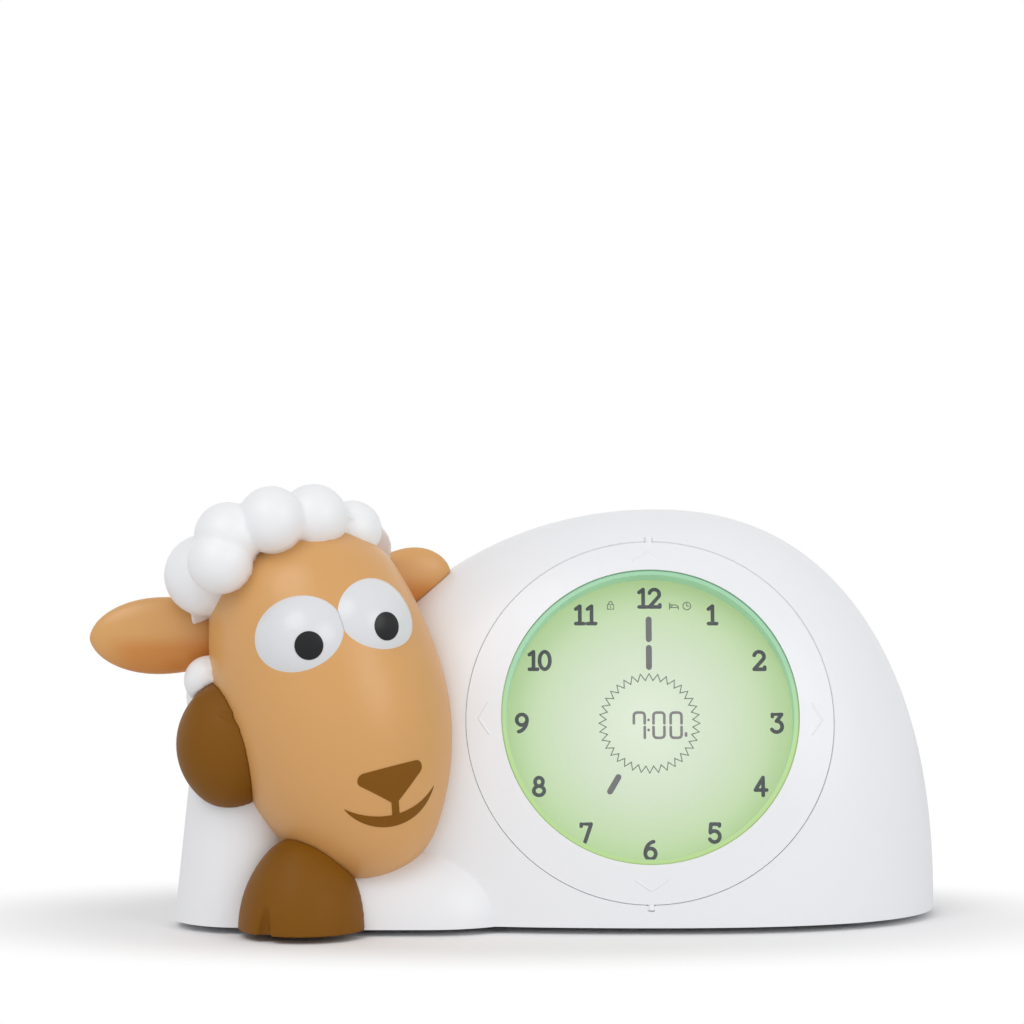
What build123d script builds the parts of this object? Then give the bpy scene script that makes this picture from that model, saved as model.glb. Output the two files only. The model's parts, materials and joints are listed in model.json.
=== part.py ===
from build123d import *
import os
from math import atan2, cos, degrees, radians, sin, tan

# A lamb-shaped bedside clock: a white dome holds the round lit dial, a tan head with
# white wool rests on brown hooves at its left, and the controls are at the rear.
# The front faces -Y, +X is to the right, +Z is up and z = 0 is the table.

# ------------------------------------------------------------------ white body
wall = 2.4
seam_gap = 0.3  # between pieces that only stand side by side
foot_height = 2.0
body_base = foot_height
dome_x, dome_y = 41.0, 15.5
dome_right, dome_left = 82.0, 110.0
dome_front, dome_rear = 50.0, 38.0
dome_height = 116.0
right_power, left_power, depth_power = 2.3, 2.05, 2.3
plan_fullness = 0.64
dome_levels = (0.0, 0.2, 0.4, 0.58, 0.74, 0.87, 0.95, 0.988)
split_y = dome_y
arm_x, arm_y = -76.5, -13.0
arm_radius, arm_top_radius, arm_height = 20.5, 16.0, 52.0
leg_y, leg_radius, leg_elbow = -14.0, 24.0, 28.5
leg_right, leg_left = -25.0, -62.0
neck_x, neck_z, neck_radius, neck_end = -46.0, 34.0, 10.0, -30.0

# ------------------------------------------------------------------ fasteners, base and feet
base_thick = 2.5
boss_radius, screw_radius, screw_head = 3.6, 1.5, 2.9
screw_grip, case_seat, case_reach, access_wall = 12.0, 10.0, 9.0, 1.6
case_screw_places = ((105.0, 24.0), (99.0, 79.0), (-16.0, 84.0), (-42.0, 20.0))
base_screw_places = ((-4.3, -25.7), (-91.0, -13.0), (115.2, 2.6), (85.0, 43.4), (-56.6, 28.7))
foot_radius, foot_inset = 7.0, 1.0
foot_places = ((-77.0, -15.0), (96.0, -9.0), (-34.0, 31.0), (96.0, 33.0))

# ------------------------------------------------------------------ head
head_x, head_y, head_z = -51.4, -20.0, 64.0
head_tilt, head_turn, head_lean = 12.0, 26.0, 8.0
head_radius, head_chin, head_crown = 32.6, 51.5, 53.0
chin_round, crown_round = 24.0, 29.0
head_wall = 2.4
wool_core, hair_rise, hair_lean = 5.0, 39.0, 27.0
# lobes of wool about the head's axis: turn from the face's front, reach, height, radius
wool_lobes = (
    (-101, 25.9, 44.5, 11.6), (-62, 25.1, 52.0, 9.6), (-66, 29.0, 45.5, 9.2), (-31, 21.1, 53.1, 9.5),
    (10, 15.8, 51.3, 9.6), (57, 18.5, 46.1, 8.5), (180, 5.0, 53.0, 10.0), (110, 19.0, 44.0, 10.0),
    (150, 24.0, 43.0, 11.0), (-160, 26.0, 44.0, 11.5), (-135, 27.0, 44.5, 11.0), (-130, 15.0, 50.5, 10.5),
    (-148, 31.0, 27.0, 10.5), (-175, 32.0, 27.0, 11.0), (155, 31.0, 28.0, 10.5), (125, 23.0, 31.0, 9.5),
    (-112, 32.3, 15.8, 7.0), (-132, 32.0, 11.0, 10.2), (-165, 32.3, 11.0, 10.2), (162, 31.5, 12.0, 10.0),
)
eye_radius, eye_face, eye_back, eye_up, eye_reach = 16.0, 13.8, 8.2, 14.2, 18.9
eye_pitch, eye_gap, pupil_drop = 10.0, 0.12, 18.0
eye_turns = {"left": -30.5, "right": 16.5}
pupil_turns = {"left": 9.8, "right": -6.0}
pupil_radius, pupil_depth, pupil_proud = 4.0, 2.0, 0.15
inlay_depth, inlay_proud = 1.2, 0.15
nose_width, nose_slope, nose_round, nose_up = 17.0, 38.0, 1.8, -26.0
lip_drop, lip_line = 11.0, 2.2
mouth_half, mouth_rise, mouth_line = 14.0, 6.5, 3.0
ear_root, ear_tip = (-83.0, -11.0, 83.4), (-121.0, -17.0, 82.5)
far_ear_root, far_ear_tip = (-40.0, 4.0, 97.0), (-18.4, 9.0, 100.6)
ear_wide, far_ear_wide, ear_flat = 10.9, 8.5, 0.42
ear_stations = ((0.0, 0.82), (0.3, 0.98), (0.55, 1.0), (0.78, 0.8), (0.93, 0.45))

# ------------------------------------------------------------------ hooves
hoof_place, hoof_radius, hoof_height, hoof_round = (-59.4, -35.0, 2.0), 18.0, 26.0, 13.0
cheek_place, cheek_radius, cheek_height, cheek_round = (-79.8, -26.0, 53.1), 15.6, 18.3, 13.5
# the cleft between two toes, a cone: its middle at the open end, its point, its radius
hoof_cleft = ((-69.5, -50.0, 1.0), (-69.0, -50.0, 18.0), 2.6)
cheek_cleft = ((-76.0, -42.5, 62.0), (-92.0, -37.0, 66.5), 3.4)

# ------------------------------------------------------------------ dial and control ring
dial_x, dial_z, dial_tilt = 38.7, 62.3, 15.0
ring_radius, window_radius, ring_gap, ring_wall = 52.2, 42.3, 0.35, 2.4
ring_drop = 1.0  # the ring's outline sits this far below the window's centre
pivot_depth, pivot_radius, pivot_clearance = 10.0, 1.1, 0.06
lug_width, lug_thick = 5.0, 3.0
pocket_depth, pocket_wall = 16.0, 2.4
collar_wall, collar_sink = 1.2, 0.6
dial_depth = 12.0
lens_thick, lcd_thick, diffuser_thick = 1.5, 2.8, 3.0
stack_gap = 0.1
lens_lap, housing_wall, housing_ledge, housing_depth, housing_flange = 1.6, 1.8, 1.6, 27.0, 5.0
led_size, led_height, led_count = 3.5, 1.4, 8
display_screw_radius, display_screw_head = 1.2, 2.2
led_circle = 28.0
key_height, key_radius, keypad_thick = 1.6, 2.2, 1.2

# ------------------------------------------------------------------ rear controls
panel_x, panel_z, panel_tilt = 41.0, 74.0, 17.0
panel_width, panel_height, panel_corner = 68.0, 25.0, 8.0
panel_sink, panel_thick, panel_flange = 3.2, 2.2, 1.6
button_radius, button_pitch, button_up = 4.2, 12.0, 4.2
button_proud, button_travel = 1.4, 0.6
button_names = ("time_button", "alarm_button", "nap_button", "light_button", "volume_button")
switch_x, switch_up, switch_travel = -14.0, -6.5, 4.0
socket_x = 14.0
board_drop, board_thick = 5.4, 1.6
speaker_x, speaker_y, speaker_z, speaker_radius = -14.0, 40.0, 44.0, 18.0
battery_radius, battery_length, battery_pitch = 7.1, 50.0, 15.0
battery_y = 39.5
tray_x, tray_wall, tray_room = 41.0, 1.5, 5.0
door_swing_gap = 0.9
door_bottom, door_top, door_half = 7.0, 60.0, 29.0
door_gap = 0.4
tab_width, tab_pitch, tab_depth, tab_drop, tab_rise = 8.0, 24.0, 1.5, 0.8, 3.0
door_boss_gap, door_grip = 1.0, 2.0


def superellipse(level, power):
    """Half width at a height, both as shares of the whole."""
    return (1 - level**power) ** (1 / power)


def dome_section(level, inset):
    """One horizontal slice of the dome, four Bezier quarters about its centre line."""
    right = (dome_right - inset) * superellipse(level, right_power)
    left = (dome_left - inset) * superellipse(level, left_power)
    front = (dome_front - inset) * superellipse(level, depth_power)
    rear = (dome_rear - inset) * superellipse(level, depth_power)
    full = plan_fullness
    height = body_base + level * (dome_height - inset)
    with BuildSketch(Plane((dome_x, dome_y, height))) as section:
        with BuildLine():
            Bezier((right, 0), (right, full * rear), (full * right, rear), (0, rear))
            Bezier((0, rear), (-full * left, rear), (-left, full * rear), (-left, 0))
            Bezier((-left, 0), (-left, -full * front), (-full * left, -front), (0, -front))
            Bezier((0, -front), (full * right, -front), (right, -full * front), (right, 0))
        make_face()
    return section.sketch


def dome_volume(inset=0.0):
    """The whole dome as a solid, its surface moved inwards by the inset."""
    slices = [dome_section(level, inset) for level in dome_levels]
    with BuildPart() as dome:
        loft(slices + [Vertex(dome_x, dome_y, body_base + dome_height - inset)])
    return dome.part


def arm_volume(inset=0.0):
    """The upright foreleg at the left, a tapered column with a domed top."""
    foot, top = arm_radius - inset, arm_top_radius - inset
    height = arm_height - inset
    shoulder = height - top * 0.6
    with BuildPart() as arm:
        with BuildSketch(Plane((arm_x, arm_y, body_base), x_dir=(1, 0, 0), z_dir=(0, -1, 0))):
            with BuildLine():
                Polyline((0, height), (0, 0), (foot, 0), (top, shoulder))
                Bezier((top, shoulder), (top, height), (top * 0.6, height), (0, height))
            make_face()
        revolve(axis=Axis((arm_x, arm_y, 0), (0, 0, 1)))
    return arm.part


def leg_volume(inset=0.0):
    """The foreleg that lies along the front, rounded at the elbow, cut flat below."""
    radius, elbow = leg_radius - inset, leg_elbow - inset
    length = leg_right - leg_left
    with BuildPart() as leg:
        with BuildSketch(Plane((leg_left, leg_y, body_base), x_dir=(1, 0, 0), z_dir=(0, -1, 0))):
            with BuildLine():
                Polyline((length, radius), (0, radius), (0, 0), (length + elbow, 0))
                EllipticalCenterArc((length, 0), elbow, radius, start_angle=0, arc_size=90)
            make_face()
        revolve(axis=Axis((0, leg_y, body_base), (1, 0, 0)))
        split(bisect_by=Plane.XY.offset(body_base))
    return leg.part


def body_volume(inset=0.0):
    """Dome, arm and lying foreleg as one solid."""
    with BuildPart() as body:
        add(dome_volume(inset))
        add(arm_volume(inset))
        add(leg_volume(inset))
    return body.part


def oval_volume(plane, width, top, top_round, bottom, bottom_round, inset=0.0):
    """A body turned about a plane's upright axis: round ends joined by longer arcs."""
    with BuildPart() as oval:
        with BuildSketch(plane):
            with BuildLine():
                for way, reach, end in ((1, top, top_round), (-1, bottom, bottom_round)):
                    flank = (width**2 + (reach - end)**2 - end**2) / (2 * (width - end))
                    meet = degrees(atan2(reach - end, flank - width))
                    CenterArc((width - flank, 0), flank - inset, 0, way * meet)
                    CenterArc((0, way * (reach - end)), end - inset, way * meet, way * (90 - meet))
                Line((0, top - inset), (0, inset - bottom))
            make_face()
        revolve(axis=Axis(plane.origin, plane.y_dir))
    return oval.part


def egg_volume(inset=0.0):
    """The head, an egg turned about its own leaning axis."""
    return oval_volume(face_front, head_radius, head_crown, crown_round, head_chin, chin_round, inset)


def ear_volume(root, tip, width):
    """A flat leaf from root to tip, lofted through ellipses."""
    run = Vector(*tip) - Vector(*root)
    with BuildPart() as ear:
        slices = []
        for share, wide in ear_stations:
            middle = Vector(*root) + run * share
            with BuildSketch(Plane(middle, x_dir=(0, 0, 1), z_dir=run)) as leaf:
                Ellipse(width * wide, width * wide * ear_flat)
            slices.append(leaf.sketch)
        loft(slices + [Vertex(*tip)])
    return ear.part


def disc_stack(radius, near, far, plane, hole=0.0):
    """A disc or ring about the dial's axis between two depths below the face plane."""
    with BuildPart() as disc:
        with BuildSketch(plane.offset(-far)):
            Circle(radius)
            if hole:
                Circle(hole, mode=Mode.SUBTRACT)
        extrude(amount=far - near)
    return disc.part


# ------------------------------------------------------------------ planes and shared solids
face_front = Plane(
    Location((head_x, head_y, head_z), (90, 0, 0))
    * Location((0, 0, 0), (0, 0, head_tilt))
    * Location((0, 0, 0), (0, head_turn, 0))
    * Location((0, 0, 0), (-head_lean, 0, 0))
)
outer_body = body_volume()
inner_body = body_volume(wall)
trim_body = body_volume(wall / 2)  # bosses and ribs end inside the wall
outer_dome = dome_volume()

face_level = (dial_z - body_base) / dome_height
dial_y = dome_y - dome_front * superellipse(face_level, depth_power)
dial_front = Plane(Location((dial_x, dial_y, dial_z), (90 - dial_tilt, 0, 0)))
ring_front = Plane(dial_front.location * Location((0, -ring_drop, 0)))

egg = egg_volume()
egg_inner = egg_volume(head_wall)
pocket_radius = ring_radius + ring_gap
collar_radius = window_radius - ring_gap
lens_radius = collar_radius + lens_lap
housing_bore = lens_radius + ring_gap / 2
housing_radius = housing_bore + housing_wall
floor_back = pocket_depth + pocket_wall
pivot_reach = pocket_radius + pocket_wall * 0.6
base_top = body_base + base_thick
parting = Plane.XZ.offset(-split_y)
os.makedirs("parts", exist_ok=True)


# ------------------------------------------------------------------ front shell
with BuildPart() as shell_skin:
    add(outer_body)
    add(inner_body, mode=Mode.SUBTRACT)

with BuildPart() as base_bosses:
    with BuildSketch(Plane.XY.offset(base_top)):
        with Locations(*base_screw_places):
            Circle(boss_radius)
            Circle(screw_radius, mode=Mode.SUBTRACT)
    extrude(amount=screw_grip)
    add(trim_body, mode=Mode.INTERSECT)

with BuildPart() as front_bosses:
    with BuildSketch(parting):
        with Locations(*case_screw_places):
            Circle(boss_radius)
            Circle(screw_radius, mode=Mode.SUBTRACT)
    extrude(amount=dome_front)
    add(trim_body, mode=Mode.INTERSECT)

with BuildPart() as dial_pocket:
    add(disc_stack(pocket_radius + pocket_wall, 0, floor_back, ring_front))
    add(disc_stack(pocket_radius, 0, pocket_depth, ring_front), mode=Mode.SUBTRACT)
    add(disc_stack(housing_radius + seam_gap, 0, floor_back, dial_front), mode=Mode.SUBTRACT)
    add(trim_body, mode=Mode.INTERSECT)
    split(bisect_by=Plane.XY.offset(base_top + seam_gap))

neck_place = Location((neck_x, neck_end, neck_z), (-90, 0, 0))
with BuildPart() as front_shell:
    add(shell_skin.part)
    split(bisect_by=parting, keep=Keep.TOP)
    add(base_bosses.part, clean=False)
    add(front_bosses.part, clean=False)
    with Locations(neck_place):
        Cylinder(neck_radius, -neck_end, align=(Align.CENTER, Align.CENTER, Align.MIN))
    with Locations(neck_place * Location((0, 0, wall))):
        Cylinder(neck_radius - wall, -neck_end, align=(Align.CENTER, Align.CENTER, Align.MIN),
                 mode=Mode.SUBTRACT)
    with Locations(neck_place):
        Cylinder(screw_radius + seam_gap, 2 * wall, mode=Mode.SUBTRACT)
    add(disc_stack(pocket_radius, -dial_depth, pocket_depth, ring_front), mode=Mode.SUBTRACT)
    add(dial_pocket.part, clean=False)
    with Locations(ring_front.offset(-pivot_depth)):
        Cylinder(pivot_radius + pivot_clearance, 2 * pivot_reach, rotation=(90, 0, 0),
                 mode=Mode.SUBTRACT)
    split(bisect_by=parting, keep=Keep.TOP)
front_shell.part.label = "front_shell"
export_step(front_shell.part, "parts/front_shell.step")

# ------------------------------------------------------------------ rear shell
panel_y = dome_y + dome_rear * superellipse((panel_z - body_base) / dome_height, depth_power)
lean = radians(panel_tilt)
panel_face = Plane((panel_x, panel_y, panel_z), x_dir=(-1, 0, 0), z_dir=Vector(0, 1, tan(lean)))
panel_back = panel_sink + panel_thick
board_front = panel_back + panel_flange + board_drop
tray_half = battery_length / 2 + tray_room
tray_shelf = base_top + tray_wall + battery_radius + seam_gap
tray_top = tray_shelf + 2 * battery_pitch + battery_radius + seam_gap + tray_wall
door_wall_y = dome_y + dome_rear


def panel_block(grow, near, far):
    """A block of the control panel's outline between two depths below its face."""
    with BuildPart() as block:
        with BuildSketch(panel_face.offset(-far)):
            RectangleRounded(panel_width + 2 * grow, panel_height + 2 * grow, panel_corner + grow)
        extrude(amount=far - near)
    return block.part


def door_block(gap):
    """A block through the rear wall with the battery door's outline."""
    with BuildPart() as block:
        with BuildSketch(Plane.XZ.offset(-door_wall_y - wall)):
            with Locations((tray_x, (door_bottom + door_top) / 2)):
                RectangleRounded(2 * (door_half - gap), door_top - door_bottom - 2 * gap, 4)
        extrude(amount=3 * wall + wall)
    return block.part


with BuildPart() as rear_bosses:
    with BuildSketch(parting):
        with Locations(*case_screw_places):
            Circle(screw_head + access_wall)
            Circle(screw_radius, mode=Mode.SUBTRACT)
    extrude(amount=-dome_rear)
    with BuildSketch(Plane.XZ.offset(-split_y - case_seat)):
        with Locations(*case_screw_places):
            Circle(screw_head)
    extrude(amount=-dome_rear, mode=Mode.SUBTRACT)
    with BuildSketch(Plane.XZ.offset(-speaker_y)):
        with Locations((speaker_x, speaker_z)):
            Circle(speaker_radius)
            Circle(speaker_radius - access_wall, mode=Mode.SUBTRACT)
    extrude(amount=-dome_rear)
    add(trim_body, mode=Mode.INTERSECT)

with BuildPart() as panel_rim:
    add(panel_block(panel_flange, -panel_sink, panel_back))
    add(outer_body, mode=Mode.INTERSECT)

with BuildPart() as rear_shell:
    add(shell_skin.part)
    add(base_bosses.part, clean=False)
    split(bisect_by=parting, keep=Keep.BOTTOM)
    add(rear_bosses.part, clean=False)
    add(panel_rim.part, clean=False)
    add(panel_block(seam_gap / 2, -panel_sink, board_front), mode=Mode.SUBTRACT)
    add(panel_block(panel_flange + seam_gap / 2, panel_back, board_front), mode=Mode.SUBTRACT)
    add(door_block(0.0), mode=Mode.SUBTRACT)
    with BuildSketch(Plane.XZ.offset(-split_y - case_seat)):
        with Locations(*case_screw_places):
            Circle(screw_head)
    extrude(amount=-dome_rear, mode=Mode.SUBTRACT)
    with BuildSketch(Plane.XZ.offset(-speaker_y)):
        with Locations((speaker_x, speaker_z)):
            with GridLocations(speaker_radius / 3, 0, 5, 1):
                SlotOverall(speaker_radius * 1.2, 2.0, rotation=90)
    extrude(amount=-dome_rear, mode=Mode.SUBTRACT)
rear_shell.part.label = "rear_shell"
export_step(rear_shell.part, "parts/rear_shell.step")

# ------------------------------------------------------------------ base plate, feet and screws
with BuildPart() as base_plate:
    add(body_volume(wall + seam_gap))
    split(bisect_by=Plane.XY.offset(base_top), keep=Keep.BOTTOM)
    with BuildSketch(Plane.XY.offset(body_base)):
        with Locations(*foot_places):
            Circle(foot_radius)
    extrude(amount=foot_inset, mode=Mode.SUBTRACT)
    for x, y in base_screw_places:
        with Locations(Plane((x, y, body_base), x_dir=(1, 0, 0), z_dir=(0, 0, -1))):
            CounterSinkHole(screw_radius, screw_head, counter_sink_angle=90)
base_plate.part.label = "base_plate"
export_step(base_plate.part, "parts/base_plate.step")

with BuildPart() as rubber_feet:
    with BuildSketch():
        with Locations(*foot_places):
            Circle(foot_radius)
    extrude(amount=foot_height + foot_inset)
rubber_feet.part.label = "rubber_feet"
export_step(rubber_feet.part, "parts/rubber_feet.step")

with BuildPart() as base_screws:
    with BuildSketch(Plane.XY.offset(body_base)):
        with Locations(*base_screw_places):
            Circle(screw_radius)
    extrude(amount=base_thick + screw_grip * 0.8)
    with Locations(*[(x, y, body_base) for x, y in base_screw_places]):
        Cone(screw_head, screw_radius, screw_head - screw_radius, align=(Align.CENTER, Align.CENTER, Align.MIN))
base_screws.part.label = "base_screws"
export_step(base_screws.part, "parts/base_screws.step")

with BuildPart() as case_screws:
    with BuildSketch(Plane.XZ.offset(-split_y - case_seat)):
        with Locations(*case_screw_places):
            Circle(screw_head - seam_gap)
    extrude(amount=-screw_radius)
    with BuildSketch(Plane.XZ.offset(-split_y - case_seat)):
        with Locations(*case_screw_places):
            Circle(screw_radius)
    extrude(amount=case_seat + case_reach)
case_screws.part.label = "case_screws"
export_step(case_screws.part, "parts/case_screws.step")

# ------------------------------------------------------------------ control ring and keypad
lug_depth = pivot_depth + pivot_radius + 1.0
with BuildPart() as ring_lugs:
    with BuildSketch(ring_front.offset(-lug_depth)):
        with PolarLocations(ring_radius - lug_thick / 2, 4):
            Rectangle(lug_thick, lug_width)
    extrude(amount=lug_depth)
    add(dome_volume(ring_wall / 2), mode=Mode.INTERSECT)

with BuildPart() as control_ring:
    add(outer_dome)
    add(dome_volume(ring_wall), mode=Mode.SUBTRACT)
    add(disc_stack(ring_radius, -dial_depth, pocket_depth, ring_front), mode=Mode.INTERSECT)
    add(disc_stack(window_radius, -dial_depth, pocket_depth, dial_front), mode=Mode.SUBTRACT)
    add(ring_lugs.part)
    for side in (-1, 1):
        trunnion = pivot_reach - ring_radius + lug_thick / 2
        with Locations(ring_front.offset(-pivot_depth).location
                       * Location((0, side * (pivot_reach - trunnion / 2 - 0.2), 0), (90, 0, 0))):
            Cylinder(pivot_radius, trunnion)
control_ring.part.label = "control_ring"
export_step(control_ring.part, "parts/control_ring.step")

with BuildPart() as ring_keypad:
    add(disc_stack(pocket_radius - seam_gap, pocket_depth - keypad_thick, pocket_depth, ring_front))
    add(disc_stack(housing_radius + seam_gap, 0, pocket_depth, dial_front), mode=Mode.SUBTRACT)
    for side in (-1, 1):
        with Locations(ring_front.offset(-pocket_depth + keypad_thick).location
                       * Location((side * (ring_radius - lug_thick), 0, 0))):
            Cylinder(key_radius, key_height, align=(Align.CENTER, Align.CENTER, Align.MIN))
ring_keypad.part.label = "ring_keypad"
export_step(ring_keypad.part, "parts/ring_keypad.step")

# ------------------------------------------------------------------ dial module
lens_back = dial_depth + lens_thick
lcd_front = lens_back + stack_gap
lcd_back = lcd_front + lcd_thick
diffuser_front = lcd_back + stack_gap
ledge_front = diffuser_front + diffuser_thick
board_back = housing_depth + board_thick

with BuildPart() as display_collar:
    add(disc_stack(collar_radius, -dial_depth, dial_depth, dial_front))
    add(disc_stack(collar_radius - collar_wall, -dial_depth, dial_depth, dial_front), mode=Mode.SUBTRACT)
    add(dome_volume(collar_sink), mode=Mode.INTERSECT)
display_collar.part.label = "display_collar"
export_step(display_collar.part, "parts/display_collar.step")

with BuildPart() as dial_lens:
    add(disc_stack(lens_radius, dial_depth, lens_back, dial_front))
dial_lens.part.label = "dial_lens"
export_step(dial_lens.part, "parts/dial_lens.step")

with BuildPart() as lcd_panel:
    add(disc_stack(lens_radius, lcd_front, lcd_back, dial_front))
lcd_panel.part.label = "lcd_panel"
export_step(lcd_panel.part, "parts/lcd_panel.step")

with BuildPart() as backlight_diffuser:
    add(disc_stack(lens_radius, diffuser_front, ledge_front, dial_front))
backlight_diffuser.part.label = "backlight_diffuser"
export_step(backlight_diffuser.part, "parts/backlight_diffuser.step")


with BuildPart() as display_housing:
    add(disc_stack(housing_radius, dial_depth, housing_depth, dial_front, hole=housing_bore))
    add(disc_stack(housing_bore, ledge_front, ledge_front + housing_ledge, dial_front,
                   hole=housing_bore - housing_ledge))
    add(disc_stack(housing_radius + housing_flange, floor_back, floor_back + housing_ledge,
                   dial_front, hole=housing_bore))
    with BuildSketch(dial_front.offset(-floor_back - housing_ledge)):
        with PolarLocations(housing_radius + housing_flange / 2, 4, start_angle=45):
            Circle(display_screw_radius)
    extrude(amount=housing_ledge, mode=Mode.SUBTRACT)
display_housing.part.label = "display_housing"
export_step(display_housing.part, "parts/display_housing.step")

with BuildPart() as display_screws:
    with BuildSketch(dial_front.offset(-floor_back - housing_ledge)):
        with PolarLocations(housing_radius + housing_flange / 2, 4, start_angle=45):
            Circle(display_screw_radius)
    extrude(amount=housing_ledge)
    with BuildSketch(dial_front.offset(-floor_back - housing_ledge)):
        with PolarLocations(housing_radius + housing_flange / 2, 4, start_angle=45):
            Circle(display_screw_head)
    extrude(amount=-display_screw_radius)
display_screws.part.label = "display_screws"
export_step(display_screws.part, "parts/display_screws.step")

with BuildPart() as main_board:
    add(disc_stack(housing_radius, housing_depth, board_back, dial_front))
main_board.part.label = "main_board"
export_step(main_board.part, "parts/main_board.step")


with BuildPart() as backlight_leds:
    with BuildSketch(dial_front.offset(-housing_depth)):
        with PolarLocations(led_circle, led_count):
            Rectangle(led_size, led_size)
    extrude(amount=led_height)
backlight_leds.part.label = "backlight_leds"
export_step(backlight_leds.part, "parts/backlight_leds.step")

# ------------------------------------------------------------------ rear control panel
button_columns = [(i - 2) * button_pitch for i in range(len(button_names))]
cap_top = panel_sink - button_proud
inner_face = panel_back + panel_flange
knob_size, knob_width = 5.0, 3.0
switch_rest = switch_x - switch_travel / 2
socket_size, socket_height = 7.8, 2.9
post_places = [(x, y) for x in (-1, 1) for y in (-1, 1)]

with BuildPart() as control_panel:
    add(panel_block(0.0, panel_sink, panel_back))
    add(panel_block(panel_flange, panel_back, inner_face))
    with BuildSketch(panel_face.offset(-inner_face)):
        with Locations(*[(x, button_up) for x in button_columns]):
            Circle(button_radius + seam_gap)
        with Locations((switch_x, switch_up)):
            SlotOverall(knob_size + switch_travel + 2 * seam_gap, knob_width + 2 * seam_gap)
        with Locations((socket_x, switch_up)):
            RectangleRounded(socket_size + 2 * seam_gap, socket_height + 2 * seam_gap, 1)
    extrude(amount=panel_thick + panel_flange, mode=Mode.SUBTRACT)
    with BuildSketch(panel_face.offset(-board_front)):
        with Locations(*[(x * (panel_width / 2 - 3), y * (panel_height / 2 - 3)) for x, y in post_places]):
            Circle(2.0)
    extrude(amount=board_drop)
control_panel.part.label = "control_panel"
export_step(control_panel.part, "parts/control_panel.step")

for name, column in zip(button_names, button_columns):
    with BuildPart() as button:
        with BuildSketch(panel_face.offset(-inner_face - 1.0)):
            with Locations((column, button_up)):
                Circle(button_radius + 1.2)
        extrude(amount=1.0 - stack_gap)
        with BuildSketch(panel_face.offset(-inner_face - 0.5)):
            with Locations((column, button_up)):
                Circle(button_radius)
        extrude(amount=inner_face + 0.5 - cap_top)
        fillet(button.edges().group_by(Axis(panel_face.origin, panel_face.z_dir))[-1], 0.8)
    button.part.label = name
    export_step(button.part, f"parts/{name}.step")

with BuildPart() as mode_switch:
    with BuildSketch(panel_face.offset(-inner_face - 1.2)):
        with Locations((switch_rest, switch_up)):
            Rectangle(knob_size + 5, knob_width + 2.5)
    extrude(amount=1.2 - stack_gap)
    with BuildSketch(panel_face.offset(-inner_face - 0.5)):
        with Locations((switch_rest, switch_up)):
            SlotOverall(knob_size, knob_width)
    extrude(amount=inner_face + 0.5 - cap_top)
mode_switch.part.label = "mode_switch"
export_step(mode_switch.part, "parts/mode_switch.step")

with BuildPart() as control_board:
    with BuildSketch(panel_face.offset(-board_front - board_thick)):
        Rectangle(panel_width - 2, panel_height - 1)
    extrude(amount=board_thick)
control_board.part.label = "control_board"
export_step(control_board.part, "parts/control_board.step")

plunger_top = inner_face + 1.0 + button_travel + 0.2
with BuildPart() as tact_switches:
    with BuildSketch(panel_face.offset(-board_front)):
        with Locations(*[(x, button_up) for x in button_columns]):
            Rectangle(6, 6)
    extrude(amount=(board_front - plunger_top) * 0.6)
    with BuildSketch(panel_face.offset(-board_front)):
        with Locations(*[(x, button_up) for x in button_columns]):
            Circle(1.7)
    extrude(amount=board_front - plunger_top)
tact_switches.part.label = "tact_switches"
export_step(tact_switches.part, "parts/tact_switches.step")

with BuildPart() as slide_switch_body:
    with BuildSketch(panel_face.offset(-board_front)):
        with Locations((switch_x, switch_up)):
            Rectangle(9, 4.4)
    extrude(amount=board_front - inner_face - 1.2 - seam_gap)
slide_switch_body.part.label = "slide_switch_body"
export_step(slide_switch_body.part, "parts/slide_switch_body.step")

with BuildPart() as usb_socket:
    with BuildSketch(panel_face.offset(-board_front)):
        with Locations((socket_x, switch_up)):
            RectangleRounded(socket_size, socket_height, 1)
    extrude(amount=board_front - panel_sink - 0.4)
    with BuildSketch(panel_face.offset(-inner_face)):
        with Locations((socket_x, switch_up)):
            RectangleRounded(socket_size - 0.8, socket_height - 0.8, 0.7)
            Rectangle(socket_size - 3.5, 0.7, mode=Mode.SUBTRACT)
    extrude(amount=inner_face, mode=Mode.SUBTRACT)
usb_socket.part.label = "usb_socket"
export_step(usb_socket.part, "parts/usb_socket.step")

# ------------------------------------------------------------------ speaker
with BuildPart() as speaker:
    with BuildSketch(Plane((speaker_x, speaker_y, speaker_z), x_dir=(1, 0, 0), z_dir=(0, 0, 1))):
        with BuildLine():
            Polyline((0, 0), (speaker_radius, 0), (speaker_radius, -1.5), (speaker_radius * 0.62, -7),
                     (speaker_radius * 0.62, -11), (0, -11), (0, 0))
        make_face()
    revolve(axis=Axis((speaker_x, speaker_y, speaker_z), (0, 1, 0)))
speaker.part.label = "speaker"
export_step(speaker.part, "parts/speaker.step")

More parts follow.
